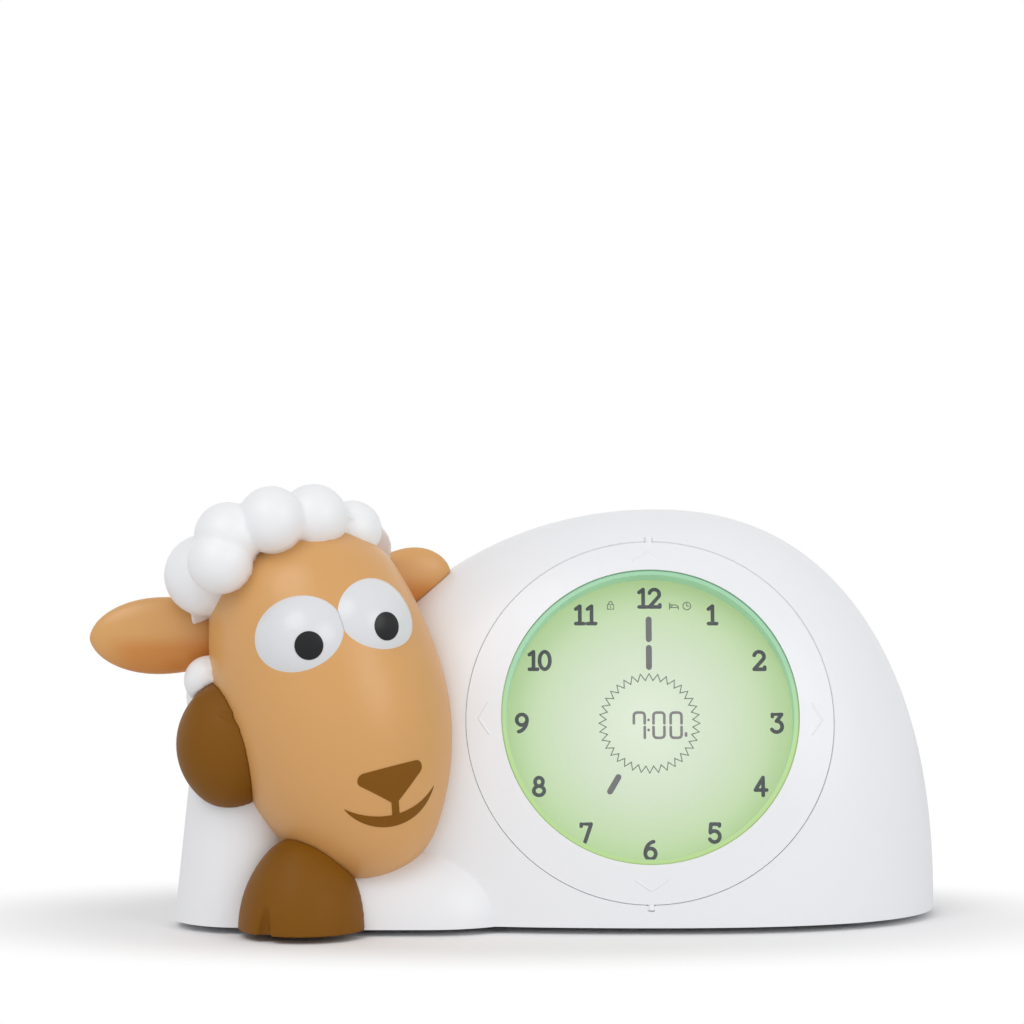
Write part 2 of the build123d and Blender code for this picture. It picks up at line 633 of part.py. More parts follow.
# ------------------------------------------------------------------ battery tray and door
tray_back = battery_y - battery_radius - seam_gap
door_screw_z = tray_top + boss_radius - tray_wall - seam_gap
door_screw_y = dome_y + dome_rear * superellipse((door_screw_z - body_base) / dome_height, depth_power)
door_boss_y = door_screw_y - wall - door_boss_gap
with BuildPart() as battery_tray:
    with BuildSketch(Plane.XZ.offset(-tray_back + tray_wall)):
        with Locations((tray_x, (base_top + tray_top) / 2)):
            Rectangle(2 * (tray_half + tray_wall), tray_top - base_top)
    extrude(amount=-dome_rear)
    with BuildSketch(Plane.XZ.offset(-tray_back)):
        with Locations((tray_x, (base_top + tray_top) / 2)):
            Rectangle(2 * tray_half, tray_top - base_top - 2 * tray_wall)
    extrude(amount=-dome_rear, mode=Mode.SUBTRACT)
    add(dome_volume(wall + seam_gap), mode=Mode.INTERSECT)
    with BuildSketch(Plane.XZ.offset(-tray_back + tray_wall)):
        with Locations((tray_x, door_screw_z)):
            Circle(boss_radius)
            Circle(screw_radius + door_swing_gap, mode=Mode.SUBTRACT)
    extrude(amount=-(door_boss_y - tray_back + tray_wall))
battery_tray.part.label = "battery_tray"
export_step(battery_tray.part, "parts/battery_tray.step")

battery_rows = [tray_shelf + i * battery_pitch for i in range(3)]
with BuildPart() as batteries:
    for row, height in enumerate(battery_rows):
        with Locations((tray_x, battery_y, height)):
            Cylinder(battery_radius, battery_length - 1.5, rotation=(0, 90, 0))
        with Locations((tray_x + (battery_length / 2) * (-1) ** row, battery_y, height)):
            Cylinder(2.6, 1.5, rotation=(0, 90, 0))
batteries.part.label = "batteries"
export_step(batteries.part, "parts/batteries.step")

with BuildPart() as battery_contacts:
    for side in (-1, 1):
        with Locations((tray_x + side * (tray_half - 0.3), battery_y, (battery_rows[0] + battery_rows[-1]) / 2)):
            Box(0.6, 9, 2 * battery_pitch + 9)
battery_contacts.part.label = "battery_contacts"
export_step(battery_contacts.part, "parts/battery_contacts.step")


def tab_block(low, inset):
    """The door's two hinge tabs, from beside its lower edge up, under a skin of the dome."""
    with BuildPart() as tabs:
        with BuildSketch(Plane.XZ.offset(-dome_y)):
            with Locations((tray_x, door_bottom + (low + tab_rise) / 2)):
                with GridLocations(tab_pitch, 0, 2, 1):
                    Rectangle(tab_width, tab_rise - low)
        extrude(amount=-dome_rear)
        add(dome_volume(inset), mode=Mode.INTERSECT)
        add(dome_volume(wall + seam_gap + tab_depth), mode=Mode.SUBTRACT)
    return tabs.part


with BuildPart() as battery_door:
    add(shell_skin.part)
    add(door_block(door_gap), mode=Mode.INTERSECT)
    add(tab_block(door_gap, wall / 2))
    add(tab_block(-tab_drop, wall + seam_gap))
    with Locations(Plane((tray_x, door_screw_y, door_screw_z), x_dir=(-1, 0, 0), z_dir=(0, 1, 0))):
        CounterSinkHole(screw_radius + seam_gap, screw_head, counter_sink_angle=90)
battery_door.part.label = "battery_door"
export_step(battery_door.part, "parts/battery_door.step")

with BuildPart() as door_screw:
    with Locations(Plane((tray_x, door_screw_y, door_screw_z), x_dir=(1, 0, 0), z_dir=(0, -1, 0))):
        Cone(screw_head, screw_radius, screw_head - screw_radius,
             align=(Align.CENTER, Align.CENTER, Align.MIN))
        Cylinder(screw_radius, wall + door_boss_gap + door_grip,
                 align=(Align.CENTER, Align.CENTER, Align.MIN))
door_screw.part.label = "door_screw"
export_step(door_screw.part, "parts/door_screw.step")

# ------------------------------------------------------------------ hooves
def hoof_volume(place, radius, height, end, cleft):
    """A rounded hoof about an upright axis, with a tapering cleft between its toes."""
    start, point, width = Vector(*cleft[0]), Vector(*cleft[1]), cleft[2]
    with BuildPart() as hoof:
        add(oval_volume(Plane(place, x_dir=(1, 0, 0), z_dir=(0, -1, 0)), radius, height, end, height, end))
        with Locations(Plane(start, z_dir=point - start)):
            Cone(width, 0, (point - start).length, align=(Align.CENTER, Align.CENTER, Align.MIN),
                 mode=Mode.SUBTRACT)
        add(outer_body, mode=Mode.SUBTRACT)
        add(egg, mode=Mode.SUBTRACT)
    return hoof.part


with BuildPart() as front_hoof:
    add(hoof_volume(hoof_place, hoof_radius, hoof_height, hoof_round, hoof_cleft))
    split(bisect_by=Plane.XY.offset(body_base))
front_hoof.part.label = "front_hoof"
export_step(front_hoof.part, "parts/front_hoof.step")

with BuildPart() as cheek_hoof:
    add(hoof_volume(cheek_place, cheek_radius, cheek_height, cheek_round, cheek_cleft))
cheek_hoof.part.label = "cheek_hoof"
export_step(cheek_hoof.part, "parts/cheek_hoof.step")

# ------------------------------------------------------------------ head
eye_planes = {}
for side, turn in eye_turns.items():
    socket = (face_front.location * Location((0, eye_up, 0)) * Location((0, 0, 0), (0, turn, 0))
              * Location((0, 0, 0), (-eye_pitch, 0, 0)))
    eye_planes[side] = Plane(socket * Location((0, 0, eye_reach)))


def domed_pin(plane, width, ball, back):
    """A round pin about a plane's normal, its front end part of a ball about the origin."""
    with BuildPart() as pin:
        with Locations(plane.offset(back)):
            Cylinder(width, ball, align=(Align.CENTER, Align.CENTER, Align.MIN))
        with Locations(plane):
            Sphere(ball, rotation=(90, 0, 0), mode=Mode.INTERSECT)
    return pin.part


with BuildPart() as face_cut:
    with BuildSketch(face_front) as muzzle:
        with Locations((0, nose_up)):
            Triangle(c=nose_width, B=nose_slope, C=nose_slope, rotation=180)
        fillet(muzzle.vertices(), nose_round)
        with Locations((0, nose_up - lip_drop / 2)):
            Rectangle(lip_line, lip_drop)
        with Locations((0, nose_up - lip_drop)):
            with BuildSketch(mode=Mode.PRIVATE) as smile:
                with BuildLine():
                    ThreePointArc((-mouth_half, mouth_rise), (0, -mouth_line / 2), (mouth_half, mouth_rise))
                    ThreePointArc((-mouth_half, mouth_rise), (0, mouth_line / 2), (mouth_half, mouth_rise))
                make_face()
            add(smile.sketch)
    extrude(amount=2 * head_radius)

with BuildPart() as face_inlay:
    add(face_cut.part)
    add(egg_volume(inlay_depth), mode=Mode.SUBTRACT)

with BuildPart() as nose_mouth:
    add(face_inlay.part)
    add(egg_volume(-inlay_proud), mode=Mode.INTERSECT)
nose_mouth.part.label = "nose_mouth"
export_step(nose_mouth.part, "parts/nose_mouth.step")

with BuildPart() as head_boss:
    with Locations(neck_place * Location((0, 0, -seam_gap))):
        Cylinder(boss_radius, head_radius, align=(Align.CENTER, Align.CENTER, Align.MAX))
        Cylinder(screw_radius, 2 * screw_grip, mode=Mode.SUBTRACT)
    add(egg_volume(head_wall / 2), mode=Mode.INTERSECT)

with BuildPart() as head_shell:
    add(egg)
    add(egg_inner, mode=Mode.SUBTRACT)
    add(outer_body, mode=Mode.SUBTRACT)
    add(head_boss.part)
    for plane in eye_planes.values():
        add(domed_pin(plane, eye_face, eye_radius, eye_back), mode=Mode.SUBTRACT)
    add(face_inlay.part, mode=Mode.SUBTRACT)
head_shell.part.label = "head_shell"
export_step(head_shell.part, "parts/head_shell.step")

with BuildPart() as head_screw:
    with Locations(neck_place * Location((0, 0, wall))):
        Cylinder(screw_head, screw_radius, align=(Align.CENTER, Align.CENTER, Align.MIN))
        Cylinder(screw_radius, wall + seam_gap + case_reach, align=(Align.CENTER, Align.CENTER, Align.MAX))
head_screw.part.label = "head_screw"
export_step(head_screw.part, "parts/head_screw.step")

for side, plane in eye_planes.items():
    gaze = Plane(plane.location * Location((0, 0, 0), (pupil_drop, pupil_turns[side], 0)))
    with BuildPart() as pupil:
        add(domed_pin(gaze, pupil_radius, eye_radius + pupil_proud, eye_radius - pupil_depth))
    pupil.part.label = f"pupil_{side}"
    export_step(pupil.part, f"parts/pupil_{side}.step")
    with BuildPart() as eye:
        add(domed_pin(plane, eye_face, eye_radius, eye_back))
        if side == "right":  # it makes room for the left eye
            room = domed_pin(eye_planes["left"], eye_face + eye_gap, eye_radius + eye_gap, eye_back - eye_gap)
            add(room, mode=Mode.SUBTRACT)
        add(pupil.part, mode=Mode.SUBTRACT)
    eye.part.label = f"eye_{side}"
    export_step(eye.part, f"parts/eye_{side}.step")

# ------------------------------------------------------------------ ears and wool
ears = {"left": ear_volume(ear_root, ear_tip, ear_wide),
        "right": ear_volume(far_ear_root, far_ear_tip, far_ear_wide)}
for side, leaf in ears.items():
    with BuildPart() as ear:
        add(leaf)
        add(egg, mode=Mode.SUBTRACT)
        add(outer_body, mode=Mode.SUBTRACT)
    ear.part.label = f"ear_{side}"
    export_step(ear.part, f"parts/ear_{side}.step")

hairline = Plane(face_front.location * Location((0, hair_rise, 0), (-90 - hair_lean, 0, 0)))

with BuildPart() as wool_cap:
    add(egg_volume(-wool_core))
    split(bisect_by=hairline)
    for turn, reach, height, lobe_radius in wool_lobes:
        spot = Location((reach * sin(radians(turn)), height, reach * cos(radians(turn))))
        with Locations(face_front.location * spot):
            Sphere(lobe_radius, rotation=(0, 90, 0))
    add(egg, mode=Mode.SUBTRACT)
    add(outer_body, mode=Mode.SUBTRACT)
    for leaf in ears.values():
        add(leaf, mode=Mode.SUBTRACT)
    add(cheek_hoof.part, mode=Mode.SUBTRACT)
wool_cap.part.label = "wool_cap"
export_step(wool_cap.part, "parts/wool_cap.step")
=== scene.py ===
import json
import math

import bmesh
import bpy
from bpy.props import FloatProperty, FloatVectorProperty, IntProperty, PointerProperty
from bpy.types import Operator, Panel, PropertyGroup
from mathutils import Matrix, Vector
from mathutils.bvhtree import BVHTree

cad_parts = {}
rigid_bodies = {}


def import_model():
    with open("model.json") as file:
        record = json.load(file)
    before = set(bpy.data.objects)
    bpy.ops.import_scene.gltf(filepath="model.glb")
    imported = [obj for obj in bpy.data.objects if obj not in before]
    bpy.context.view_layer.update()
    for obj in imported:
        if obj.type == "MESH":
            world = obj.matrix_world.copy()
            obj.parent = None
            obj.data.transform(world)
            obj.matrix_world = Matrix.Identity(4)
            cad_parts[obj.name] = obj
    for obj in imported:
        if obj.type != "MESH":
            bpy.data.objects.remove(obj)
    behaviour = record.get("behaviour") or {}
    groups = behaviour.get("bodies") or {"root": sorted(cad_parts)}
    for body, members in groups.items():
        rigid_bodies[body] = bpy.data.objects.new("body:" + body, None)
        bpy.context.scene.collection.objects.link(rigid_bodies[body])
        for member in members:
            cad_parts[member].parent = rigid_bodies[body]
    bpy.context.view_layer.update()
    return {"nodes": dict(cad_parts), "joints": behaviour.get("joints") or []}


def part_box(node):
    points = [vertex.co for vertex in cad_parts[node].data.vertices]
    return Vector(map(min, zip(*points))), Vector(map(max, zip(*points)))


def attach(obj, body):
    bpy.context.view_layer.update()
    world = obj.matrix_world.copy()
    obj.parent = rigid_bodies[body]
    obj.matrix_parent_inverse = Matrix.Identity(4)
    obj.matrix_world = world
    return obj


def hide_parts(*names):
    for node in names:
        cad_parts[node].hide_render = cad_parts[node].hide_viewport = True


bl_info = {
    "name": "Lamb Night Clock",
    "version": (1, 0, 0),
    "blender": (4, 5, 0),
    "location": "3D View > Sidebar > Clock",
    "description": "Finishes, lit dial, marks, wool and studio of a children's lamb alarm clock",
    "category": "Object",
}

for leftover in list(bpy.data.objects):
    bpy.data.objects.remove(leftover)

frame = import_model()

MM = 0.001


def paint(red, green, blue):
    """A screen colour, 0 to 255, as the linear colour that shaders use."""
    shares = (red / 255, green / 255, blue / 255)
    return tuple(s / 12.92 if s <= 0.04045 else ((s + 0.055) / 1.055) ** 2.4 for s in shares)


def tint(label, help_text, colour):
    """A colour property."""
    colour = paint(*colour)
    return FloatVectorProperty(
        name=label, description=help_text, subtype="COLOR", size=3, min=0, max=1, default=colour
    )


def length(label, help_text, value):
    """A length property in millimetres."""
    return FloatProperty(name=label + " (mm)", description=help_text, default=value, min=0)


def plain(label, help_text, value):
    """A number property."""
    return FloatProperty(name=label, description=help_text, default=value, min=0)


def count(label, help_text, value, least=0):
    """A whole-number property."""
    return IntProperty(name=label, description=help_text, default=value, min=least)


# -------- what a user would change


class ClockFinishes(PropertyGroup):
    body: tint("Body", "Moulded body, ring and back", (240, 241, 244))
    wool: tint("Wool", "Moulded wool cap", (243, 244, 246))
    head: tint("Head", "Head and ears", (216, 162, 98))
    # The ear colour below is a painted shade on an ear's lower half, standing for the shade of its
    # inner fold.
    ear_shade: tint("Ear shade", "Painted shade along the lower half of an ear", (206, 130, 50))
    hooves: tint("Hooves", "Hooves, nose and mouth", (130, 83, 14))
    collar: tint("Collar", "Green wall round the display", (160, 210, 173))
    dial_centre: tint("Dial centre", "Lit dial in its middle", (230, 241, 220))
    dial_middle: tint("Dial middle", "Lit dial halfway out", (214, 229, 203))
    dial_edge: tint("Dial edge", "Lit dial along its edge", (184, 216, 148))
    numerals: tint("Numerals", "Hour numerals", (38, 40, 54))
    hands: tint("Hands", "Clock hands drawn by the display", (95, 92, 98))
    digits: tint("Digits", "Digital time", (120, 115, 120))
    marks: tint("Small marks", "Zigzag ring and icons", (92, 108, 92))
    eye: tint("Eye", "Domed eyes", (224, 226, 229))
    pupil: tint("Pupil", "Pupils", (22, 23, 25))


class DialSizes(PropertyGroup):
    numeral_radius: length("Numeral radius", "From the dial's centre to a numeral's middle", 36.4)
    numeral_height: length("Numeral height", "Height of a numeral's centre line", 5.1)
    numeral_line: length("Numeral line", "Half the width of a numeral's line", 0.54)
    hand_line: length("Hand line", "Half the width of a hand", 0.85)
    digit_height: length("Digit height", "Height of a digit's centre line", 7.3)
    digit_line: length("Digit line", "Half the width of a digit's line", 0.38)
    zigzag_outer: length("Zigzag outer radius", "Outer points of the zigzag ring", 14.4)
    zigzag_inner: length("Zigzag inner radius", "Inner points of the zigzag ring", 12.4)
    zigzag_teeth: count("Zigzag teeth", "Points round the zigzag ring", 36, 3)
    mark_line: length("Fine line", "Half the width of the zigzag's line", 0.27)
    icon_line: length("Icon line", "Half the width of an icon's line", 0.14)
    print_thick: length("Print thickness", "Thickness of every mark on the display", 0.04)
    arrow_line: length("Arrow line", "Half the width of a raised arrow on the ring", 0.42)
    arrow_sink: length("Arrow sink", "How deep an arrow's middle lies below the ring's face", 0.22)


class BodySizes(PropertyGroup):
    ring_drop: length("Ring drop", "How far the ring's centre sits below the display's", 1.0)
    groove_inner: length("Groove inner radius", "Inner edge of the lip in the ring's gap", 52.32)
    groove_outer: length("Groove outer radius", "Outer edge of the lip", 52.62)
    groove_depth: length("Groove depth", "From the shell's surface down to the lip", 0.15)
    groove_thick: length("Groove thickness", "Thickness of the lip", 0.4)
    groove_steps: count("Groove steps", "Stations round the lip", 240, 24)
    cross_arm: length("Recess arm", "Length of a screw recess's arm", 2.3)
    cross_width: length("Recess width", "Width of a screw recess's arm", 0.5)
    cross_depth: length("Recess depth", "Thickness of a screw recess's mark", 0.06)
    sign_size: plain("Sign size", "Size of a rear sign, 1 being about 2 mm across", 1.15)
    sign_drop: length("Sign drop", "From a button's lower edge down to its sign's middle", 2.2)
    sign_line: length("Sign line", "Half the width of a rear sign's line", 0.13)


class SoftSizes(PropertyGroup):
    wool_cell: length("Wool cell", "Cell that rounds the creases between the curls", 0.55)
    wool_passes: count("Wool passes", "Smoothing passes on the wool", 9)
    wool_sink: length("Wool sink", "How far the wool reaches below the head's skin", 0.9)
    trim_cell: length("Trim cell", "Cell that rounds ears and hooves", 0.42)
    trim_passes: count("Trim passes", "Smoothing passes on ears and hooves", 4)


class StageSettings(PropertyGroup):
    world_light: plain("World light", "Even light from all round", 0.6)
    key_power: plain("Key lamp", "Power of the large soft lamp in watts", 7.2)
    fill_power: plain("Fill lamp", "Power of the low front lamp in watts", 4.8)
    floor: tint("Floor", "Plain floor", (246, 246, 247))


# -------- node trees


class Term:
    """One socket of a node tree, so that an expression on sockets adds its Math nodes."""

    def __init__(self, tree, socket):
        self.tree = tree
        self.socket = socket

    def maths(self, operation, first, second=0.0, clamp=False):
        settings = {"operation": operation, "use_clamp": clamp}
        return self.tree.node("ShaderNodeMath", settings, {0: first, 1: second})

    def __add__(self, other):
        return self.maths("ADD", self, other)

    def __sub__(self, other):
        return self.maths("SUBTRACT", self, other)

    def __mul__(self, other):
        return self.maths("MULTIPLY", self, other)

    def __truediv__(self, other):
        return self.maths("DIVIDE", self, other)

    def __pow__(self, other):
        return self.maths("POWER", self, other)

    def __radd__(self, other):
        return self.maths("ADD", other, self)

    def __rsub__(self, other):
        return self.maths("SUBTRACT", other, self)

    def __rmul__(self, other):
        return self.maths("MULTIPLY", other, self)

    def __rtruediv__(self, other):
        return self.maths("DIVIDE", other, self)

    def clamped(self):
        return self.maths("ADD", self, 0.0, clamp=True)


class Tree:
    """A node tree in the making."""

    def __init__(self, tree):
        self.tree = tree

    def node(self, kind, settings=None, values=None, output=0):
        """Adds a node: its settings first, then the values or links of its sockets."""
        made = self.tree.nodes.new(kind)
        for name, value in (settings or {}).items():
            if name == "stops":
                set_stops(made.color_ramp, value)
            else:
                setattr(made, name, value)
        for socket, value in (values or {}).items():
            if isinstance(value, Term):
                self.tree.links.new(value.socket, made.inputs[socket])
            else:
                made.inputs[socket].default_value = value
        return Term(self, made.outputs[output])


def set_stops(ramp, stops):
    """Gives a colour ramp its stops, each a position and a colour."""
    while len(ramp.elements) < len(stops):
        ramp.elements.new(1.0)
    for element, (position, colour) in zip(ramp.elements, stops):
        element.position = position
        element.color = (*colour, 1.0)


class Finish(Tree):
    """A material in the making: a Principled shader and the patterns that feed it."""

    def __init__(self, name, **fixed):
        self.material = bpy.data.materials.new(name)
        self.material.use_nodes = True
        super().__init__(self.material.node_tree)
        self.tree.nodes.clear()
        self.shader = self.tree.nodes.new("ShaderNodeBsdfPrincipled")
        self.end = self.tree.nodes.new("ShaderNodeOutputMaterial")
        self.tree.links.new(self.shader.outputs[0], self.end.inputs["Surface"])
        for socket, value in fixed.items():
            self.feed(socket.replace("_", " "), value)
        self.place = self.node("ShaderNodeTexCoord", output="Object")

    def feed(self, socket, value):
        """Sets a socket of the shader, or links a pattern to it."""
        if isinstance(value, Term):
            self.tree.links.new(value.socket, self.shader.inputs[socket])
        elif isinstance(value, tuple):
            self.shader.inputs[socket].default_value = (*value, 1.0)
        else:
            self.shader.inputs[socket].default_value = value

    def along(self, way):
        """How far a place lies along a direction."""
        return self.vectors("DOT_PRODUCT", self.place, tuple(way), "Value")

    def vectors(self, operation, first, second, output="Vector"):
        values = {0: first, 1: second}
        return self.node("ShaderNodeVectorMath", {"operation": operation}, values, output)

    def noise(self, scale, detail=2.0):
        values = {"Vector": self.place, "Scale": scale, "Detail": detail}
        return self.node("ShaderNodeTexNoise", None, values)

    def axis(self, letter):
        return self.node("ShaderNodeSeparateXYZ", None, {0: self.place}, output=letter)

    def between(self, value, low, high):
        """A value's smooth share of the way from low to high."""
        settings = {"interpolation_type": "SMOOTHSTEP"}
        return self.node("ShaderNodeMapRange", settings, {0: value, 1: low, 2: high})

    def blend(self, share, first, second):
        """A mix of two colours, each plain or a pattern."""
        first, second = [c if isinstance(c, Term) else (*c, 1.0) for c in (first, second)]
        values = {0: share, 6: first, 7: second}
        return self.node("ShaderNodeMix", {"data_type": "RGBA"}, values, output=2)

    def bump(self, height, distance, strength):
        values = {"Strength": strength, "Distance": distance, "Height": height}
        self.feed("Normal", self.node("ShaderNodeBump", None, values))


def scaled(colour, share):
    """A colour made darker, or lighter where the share is above 1."""
    return tuple(c * share for c in colour)


def moulding(name, colour, roughness, clouding, grain, shine=0.5):
    """Moulded plastic: a faint clouding, an uneven gloss and a fine spark-eroded grain."""
    finish = Finish(name, Specular_IOR_Level=shine)
    dark, light = scaled(colour, 1.0 - clouding), scaled(colour, 1.0 + clouding * 0.4)
    finish.feed("Base Color", finish.blend(finish.noise(38.0, 3.0), dark, light))
    finish.feed("Roughness", roughness - 0.05 + 0.1 * finish.noise(210.0, 2.0))
    finish.bump(finish.noise(2600.0, 2.0), grain * MM, 0.6)
    return finish


def moulded(*settings, **more):
    """The material of a moulding."""
    return moulding(*settings, **more).material


# -------- geometry trees


class Shape(Tree):
    """A Geometry Nodes tree in the making, with named inputs, that ends in a mesh of one finish."""

    def __init__(self, name, **inputs):
        group = bpy.data.node_groups.new(name, "GeometryNodeTree")
        face = group.interface
        face.new_socket("Geometry", in_out="INPUT", socket_type="NodeSocketGeometry")
        face.new_socket("Geometry", in_out="OUTPUT", socket_type="NodeSocketGeometry")
        for label, kind in inputs.items():
            face.new_socket(label, in_out="INPUT", socket_type="NodeSocket" + kind)
        face.new_socket("Finish", in_out="INPUT", socket_type="NodeSocketMaterial")
        super().__init__(group)
        source = group.nodes.new("NodeGroupInput")
        self.given = {socket.name: Term(self, socket) for socket in source.outputs if socket.name}

    def lines(self):
        """The edges of the given mesh, as curves."""
        return self.node("GeometryNodeMeshToCurve", None, {"Mesh": self.given["Geometry"]})

    def swept(self, curve, sides, caps=False):
        """A round section of the given half line, swept along a curve."""
        values = {"Resolution": sides, "Radius": self.given["Half_Line"]}
        ring = self.node("GeometryNodeCurvePrimitiveCircle", None, values)
        values = {"Curve": curve, "Profile Curve": ring, "Fill Caps": caps}
        return self.node("GeometryNodeCurveToMesh", None, values)

    def joined(self, *parts):
        join = self.tree.nodes.new("GeometryNodeJoinGeometry")
        for part in parts:
            self.tree.links.new(part.socket, join.inputs[0])
        return Term(self, join.outputs[0])

    def pressed(self, geometry):
        """Round lines pressed down to the given thickness of a print."""
        thin = {0: 1.0, 1: 1.0, 2: self.given["Half_Thick"] / self.given["Half_Line"]}
        values = {"Geometry": geometry, "Scale": self.node("ShaderNodeCombineXYZ", None, thin)}
        return self.node("GeometryNodeTransform", None, values)

    def done(self, geometry):
        """Ends the tree in real geometry that wears the finish."""
        real = self.node("GeometryNodeRealizeInstances", None, {"Geometry": geometry})
        values = {"Geometry": real, "Material": self.given["Finish"]}
        dressed = self.node("GeometryNodeSetMaterial", None, values)
        self.tree.links.new(dressed.socket, self.tree.nodes.new("NodeGroupOutput").inputs[0])
        return self.tree


def grow(name, mesh, tree, finish, **values):
    """Runs a shape's tree on a mesh and returns the result as a plain piece."""
    source = bpy.data.objects.new(name, mesh)
    bpy.context.scene.collection.objects.link(source)
    modifier = source.modifiers.new("Shape", "NODES")
    modifier.node_group = tree
    values["Finish"] = finish
    for item in tree.interface.items_tree:
        if item.in_out == "INPUT" and item.name in values:
            modifier[item.identifier] = values[item.name]
    ready = source.evaluated_get(bpy.context.evaluated_depsgraph_get())
    made = bpy.data.meshes.new_from_object(ready)
    made.name = name
    source.modifiers.remove(modifier)
    source.data = made
    bpy.data.meshes.remove(mesh)
    return source


def stroke_tree():
    """Lines with round ends and corners, flattened to the thickness of a print."""
    shape = Shape("Printed strokes", Half_Line="Float", Half_Thick="Float")
    bars = shape.swept(shape.lines(), 10)
    values = {"Segments": 12, "Rings": 4, "Radius": shape.given["Half_Line"]}
    ball = shape.node("GeometryNodeMeshUVSphere", None, values)
    values = {"Points": shape.given["Geometry"], "Instance": ball}
    ends = shape.node("GeometryNodeInstanceOnPoints", None, values)
    real_ends = shape.node("GeometryNodeRealizeInstances", None, {"Geometry": ends})
    return shape.done(shape.pressed(shape.joined(bars, real_ends)))


def zigzag_tree():
    """A ring of zigzag line, flattened to the thickness of a print."""
    sizes = dict.fromkeys(("Inner", "Outer", "Half_Line", "Half_Thick"), "Float")
    shape = Shape("Zigzag ring", Teeth="Int", **sizes)
    given = shape.given
    values = {"Points": given["Teeth"]}
    values |= {"Inner Radius": given["Inner"], "Outer Radius": given["Outer"]}
    star = shape.node("GeometryNodeCurveStar", None, values)
    return shape.done(shape.pressed(shape.swept(star, 8)))


def raised_tree():
    """Round ribs along lines."""
    shape = Shape("Raised ribs", Half_Line="Float")
    return shape.done(shape.swept(shape.lines(), 8, caps=True))


# -------- the dial's plane


def joint_axis(name):
    """The direction of a joint's axis, one long."""
    return Vector(next(j["axis"] for j in frame["joints"] if j["name"] == name)).normalized()


DIAL_RIGHT = Vector((1.0, 0.0, 0.0))
DIAL_UP = joint_axis("control_ring_rock")
DIAL_OUT = DIAL_RIGHT.cross(DIAL_UP)
DIAL_DROP = 0.7 * MM  # the marks' centre sits this far below the display's
GLOW_RADIUS = 44.0 * MM
COLLAR_WALL = 1.2 * MM
COLLAR_PAINTED_GLOW_FADE = (-14 * MM, 20 * MM)  # heights between which the rim's glow ends
# Where the painted shade on an ear's lower half ends, and how it fades along the ear.
EAR_PAINTED_SHADE_EDGE = (-4.5 * MM, 1.5 * MM)  # about an ear's middle height
EAR_LEFT_FADE = (1.0 * MM, 14.0 * MM)  # from its tip
EAR_RIGHT_FADE = (-8.0 * MM, 0.0)  # to its tip


def reach(node, direction):
    """Lowest and highest place of a CAD node along a direction."""
    places = [direction.dot(v.co) for v in frame["nodes"][node].data.vertices]
    return min(places), max(places)


def dial_place():
    """Turns flat work, drawn in metres about the dial's centre, onto the display's face."""
    across = sum(reach("lcd_panel", DIAL_RIGHT)) / 2
    above = sum(reach("lcd_panel", DIAL_UP)) / 2 - DIAL_DROP
    face = (reach("lcd_panel", DIAL_OUT)[1] + reach("dial_lens", DIAL_OUT)[0]) / 2
    centre = DIAL_RIGHT * across + DIAL_UP * above + DIAL_OUT * face
    turn = Matrix((DIAL_RIGHT, DIAL_UP, DIAL_OUT)).transposed().to_4x4()
    return Matrix.Translation(centre) @ turn


def arc(x, y, wide, high, start, end, steps=12):
    """Points along an upright ellipse's arc, angles in degrees, anticlockwise from the right."""
    angles = [math.radians(start + (end - start) * i / steps) for i in range(steps + 1)]
    return [(x + wide * math.cos(a), y + high * math.sin(a)) for a in angles]


# Each figure is drawn one unit high about its own middle, as the lines a pen would draw.
FIGURES = {
    "0": [arc(0, 0, 0.29, 0.5, 90, 450, 24)],
    "1": [[(0.03, -0.5), (0.03, 0.5)], [(0.03, 0.5), (-0.2, 0.33)], [(-0.2, -0.5), (0.26, -0.5)]],
    "2": [
        arc(0.0, 0.22, 0.28, 0.28, 165, -25, 14) + [(-0.28, -0.5)],
        [(-0.28, -0.5), (0.31, -0.5)],
        [(0.31, -0.5), (0.31, -0.38)],
    ],
    "3": [
        [(-0.26, 0.38), (-0.26, 0.5), (0.26, 0.5)],
        [(0.26, 0.5), (-0.03, 0.12)],
        arc(-0.03, -0.19, 0.31, 0.31, 90, -150, 16),
    ],
    "4": [[(0.12, 0.5), (-0.31, -0.2)], [(-0.31, -0.2), (0.32, -0.2)], [(0.12, 0.5), (0.12, -0.5)]],
    "5": [
        [(0.27, 0.4), (0.27, 0.5)],
        [(0.27, 0.5), (-0.2, 0.5)],
        [(-0.2, 0.5), (-0.24, 0.05)],
        arc(-0.01, -0.19, 0.3, 0.31, 138, -150, 16),
    ],
    "6": [arc(0.0, -0.2, 0.29, 0.3, 90, 450, 20), arc(0.25, -0.2, 0.54, 0.68, 180, 98, 10)],
    "7": [[(-0.27, 0.38), (-0.27, 0.5), (0.28, 0.5)], [(0.28, 0.5), (-0.06, -0.5)]],
    "8": [arc(0, 0.26, 0.22, 0.24, 90, 450, 18), arc(0, -0.24, 0.29, 0.26, 90, 450, 20)],
}
FIGURES["9"] = [[(-x, -y) for x, y in line] for line in FIGURES["6"]]


def placed(lines, x, y, size):
    """Lines drawn about their own middle, at a size and place."""
    return [[(x + size * a, y + size * b) for a, b in line] for line in lines]


def line_mesh(name, lines):
    """A mesh of edges along lines in millimetres, each point with or without its height."""
    mesh = bpy.data.meshes.new(name)
    points, edges = [], []
    for line in lines:
        start = len(points)
        points += [Vector((*point, 0.0)[:3]) * MM for point in line]
        edges += [(start + i, start + i + 1) for i in range(len(line) - 1)]
    mesh.from_pydata(points, edges, [])
    return mesh


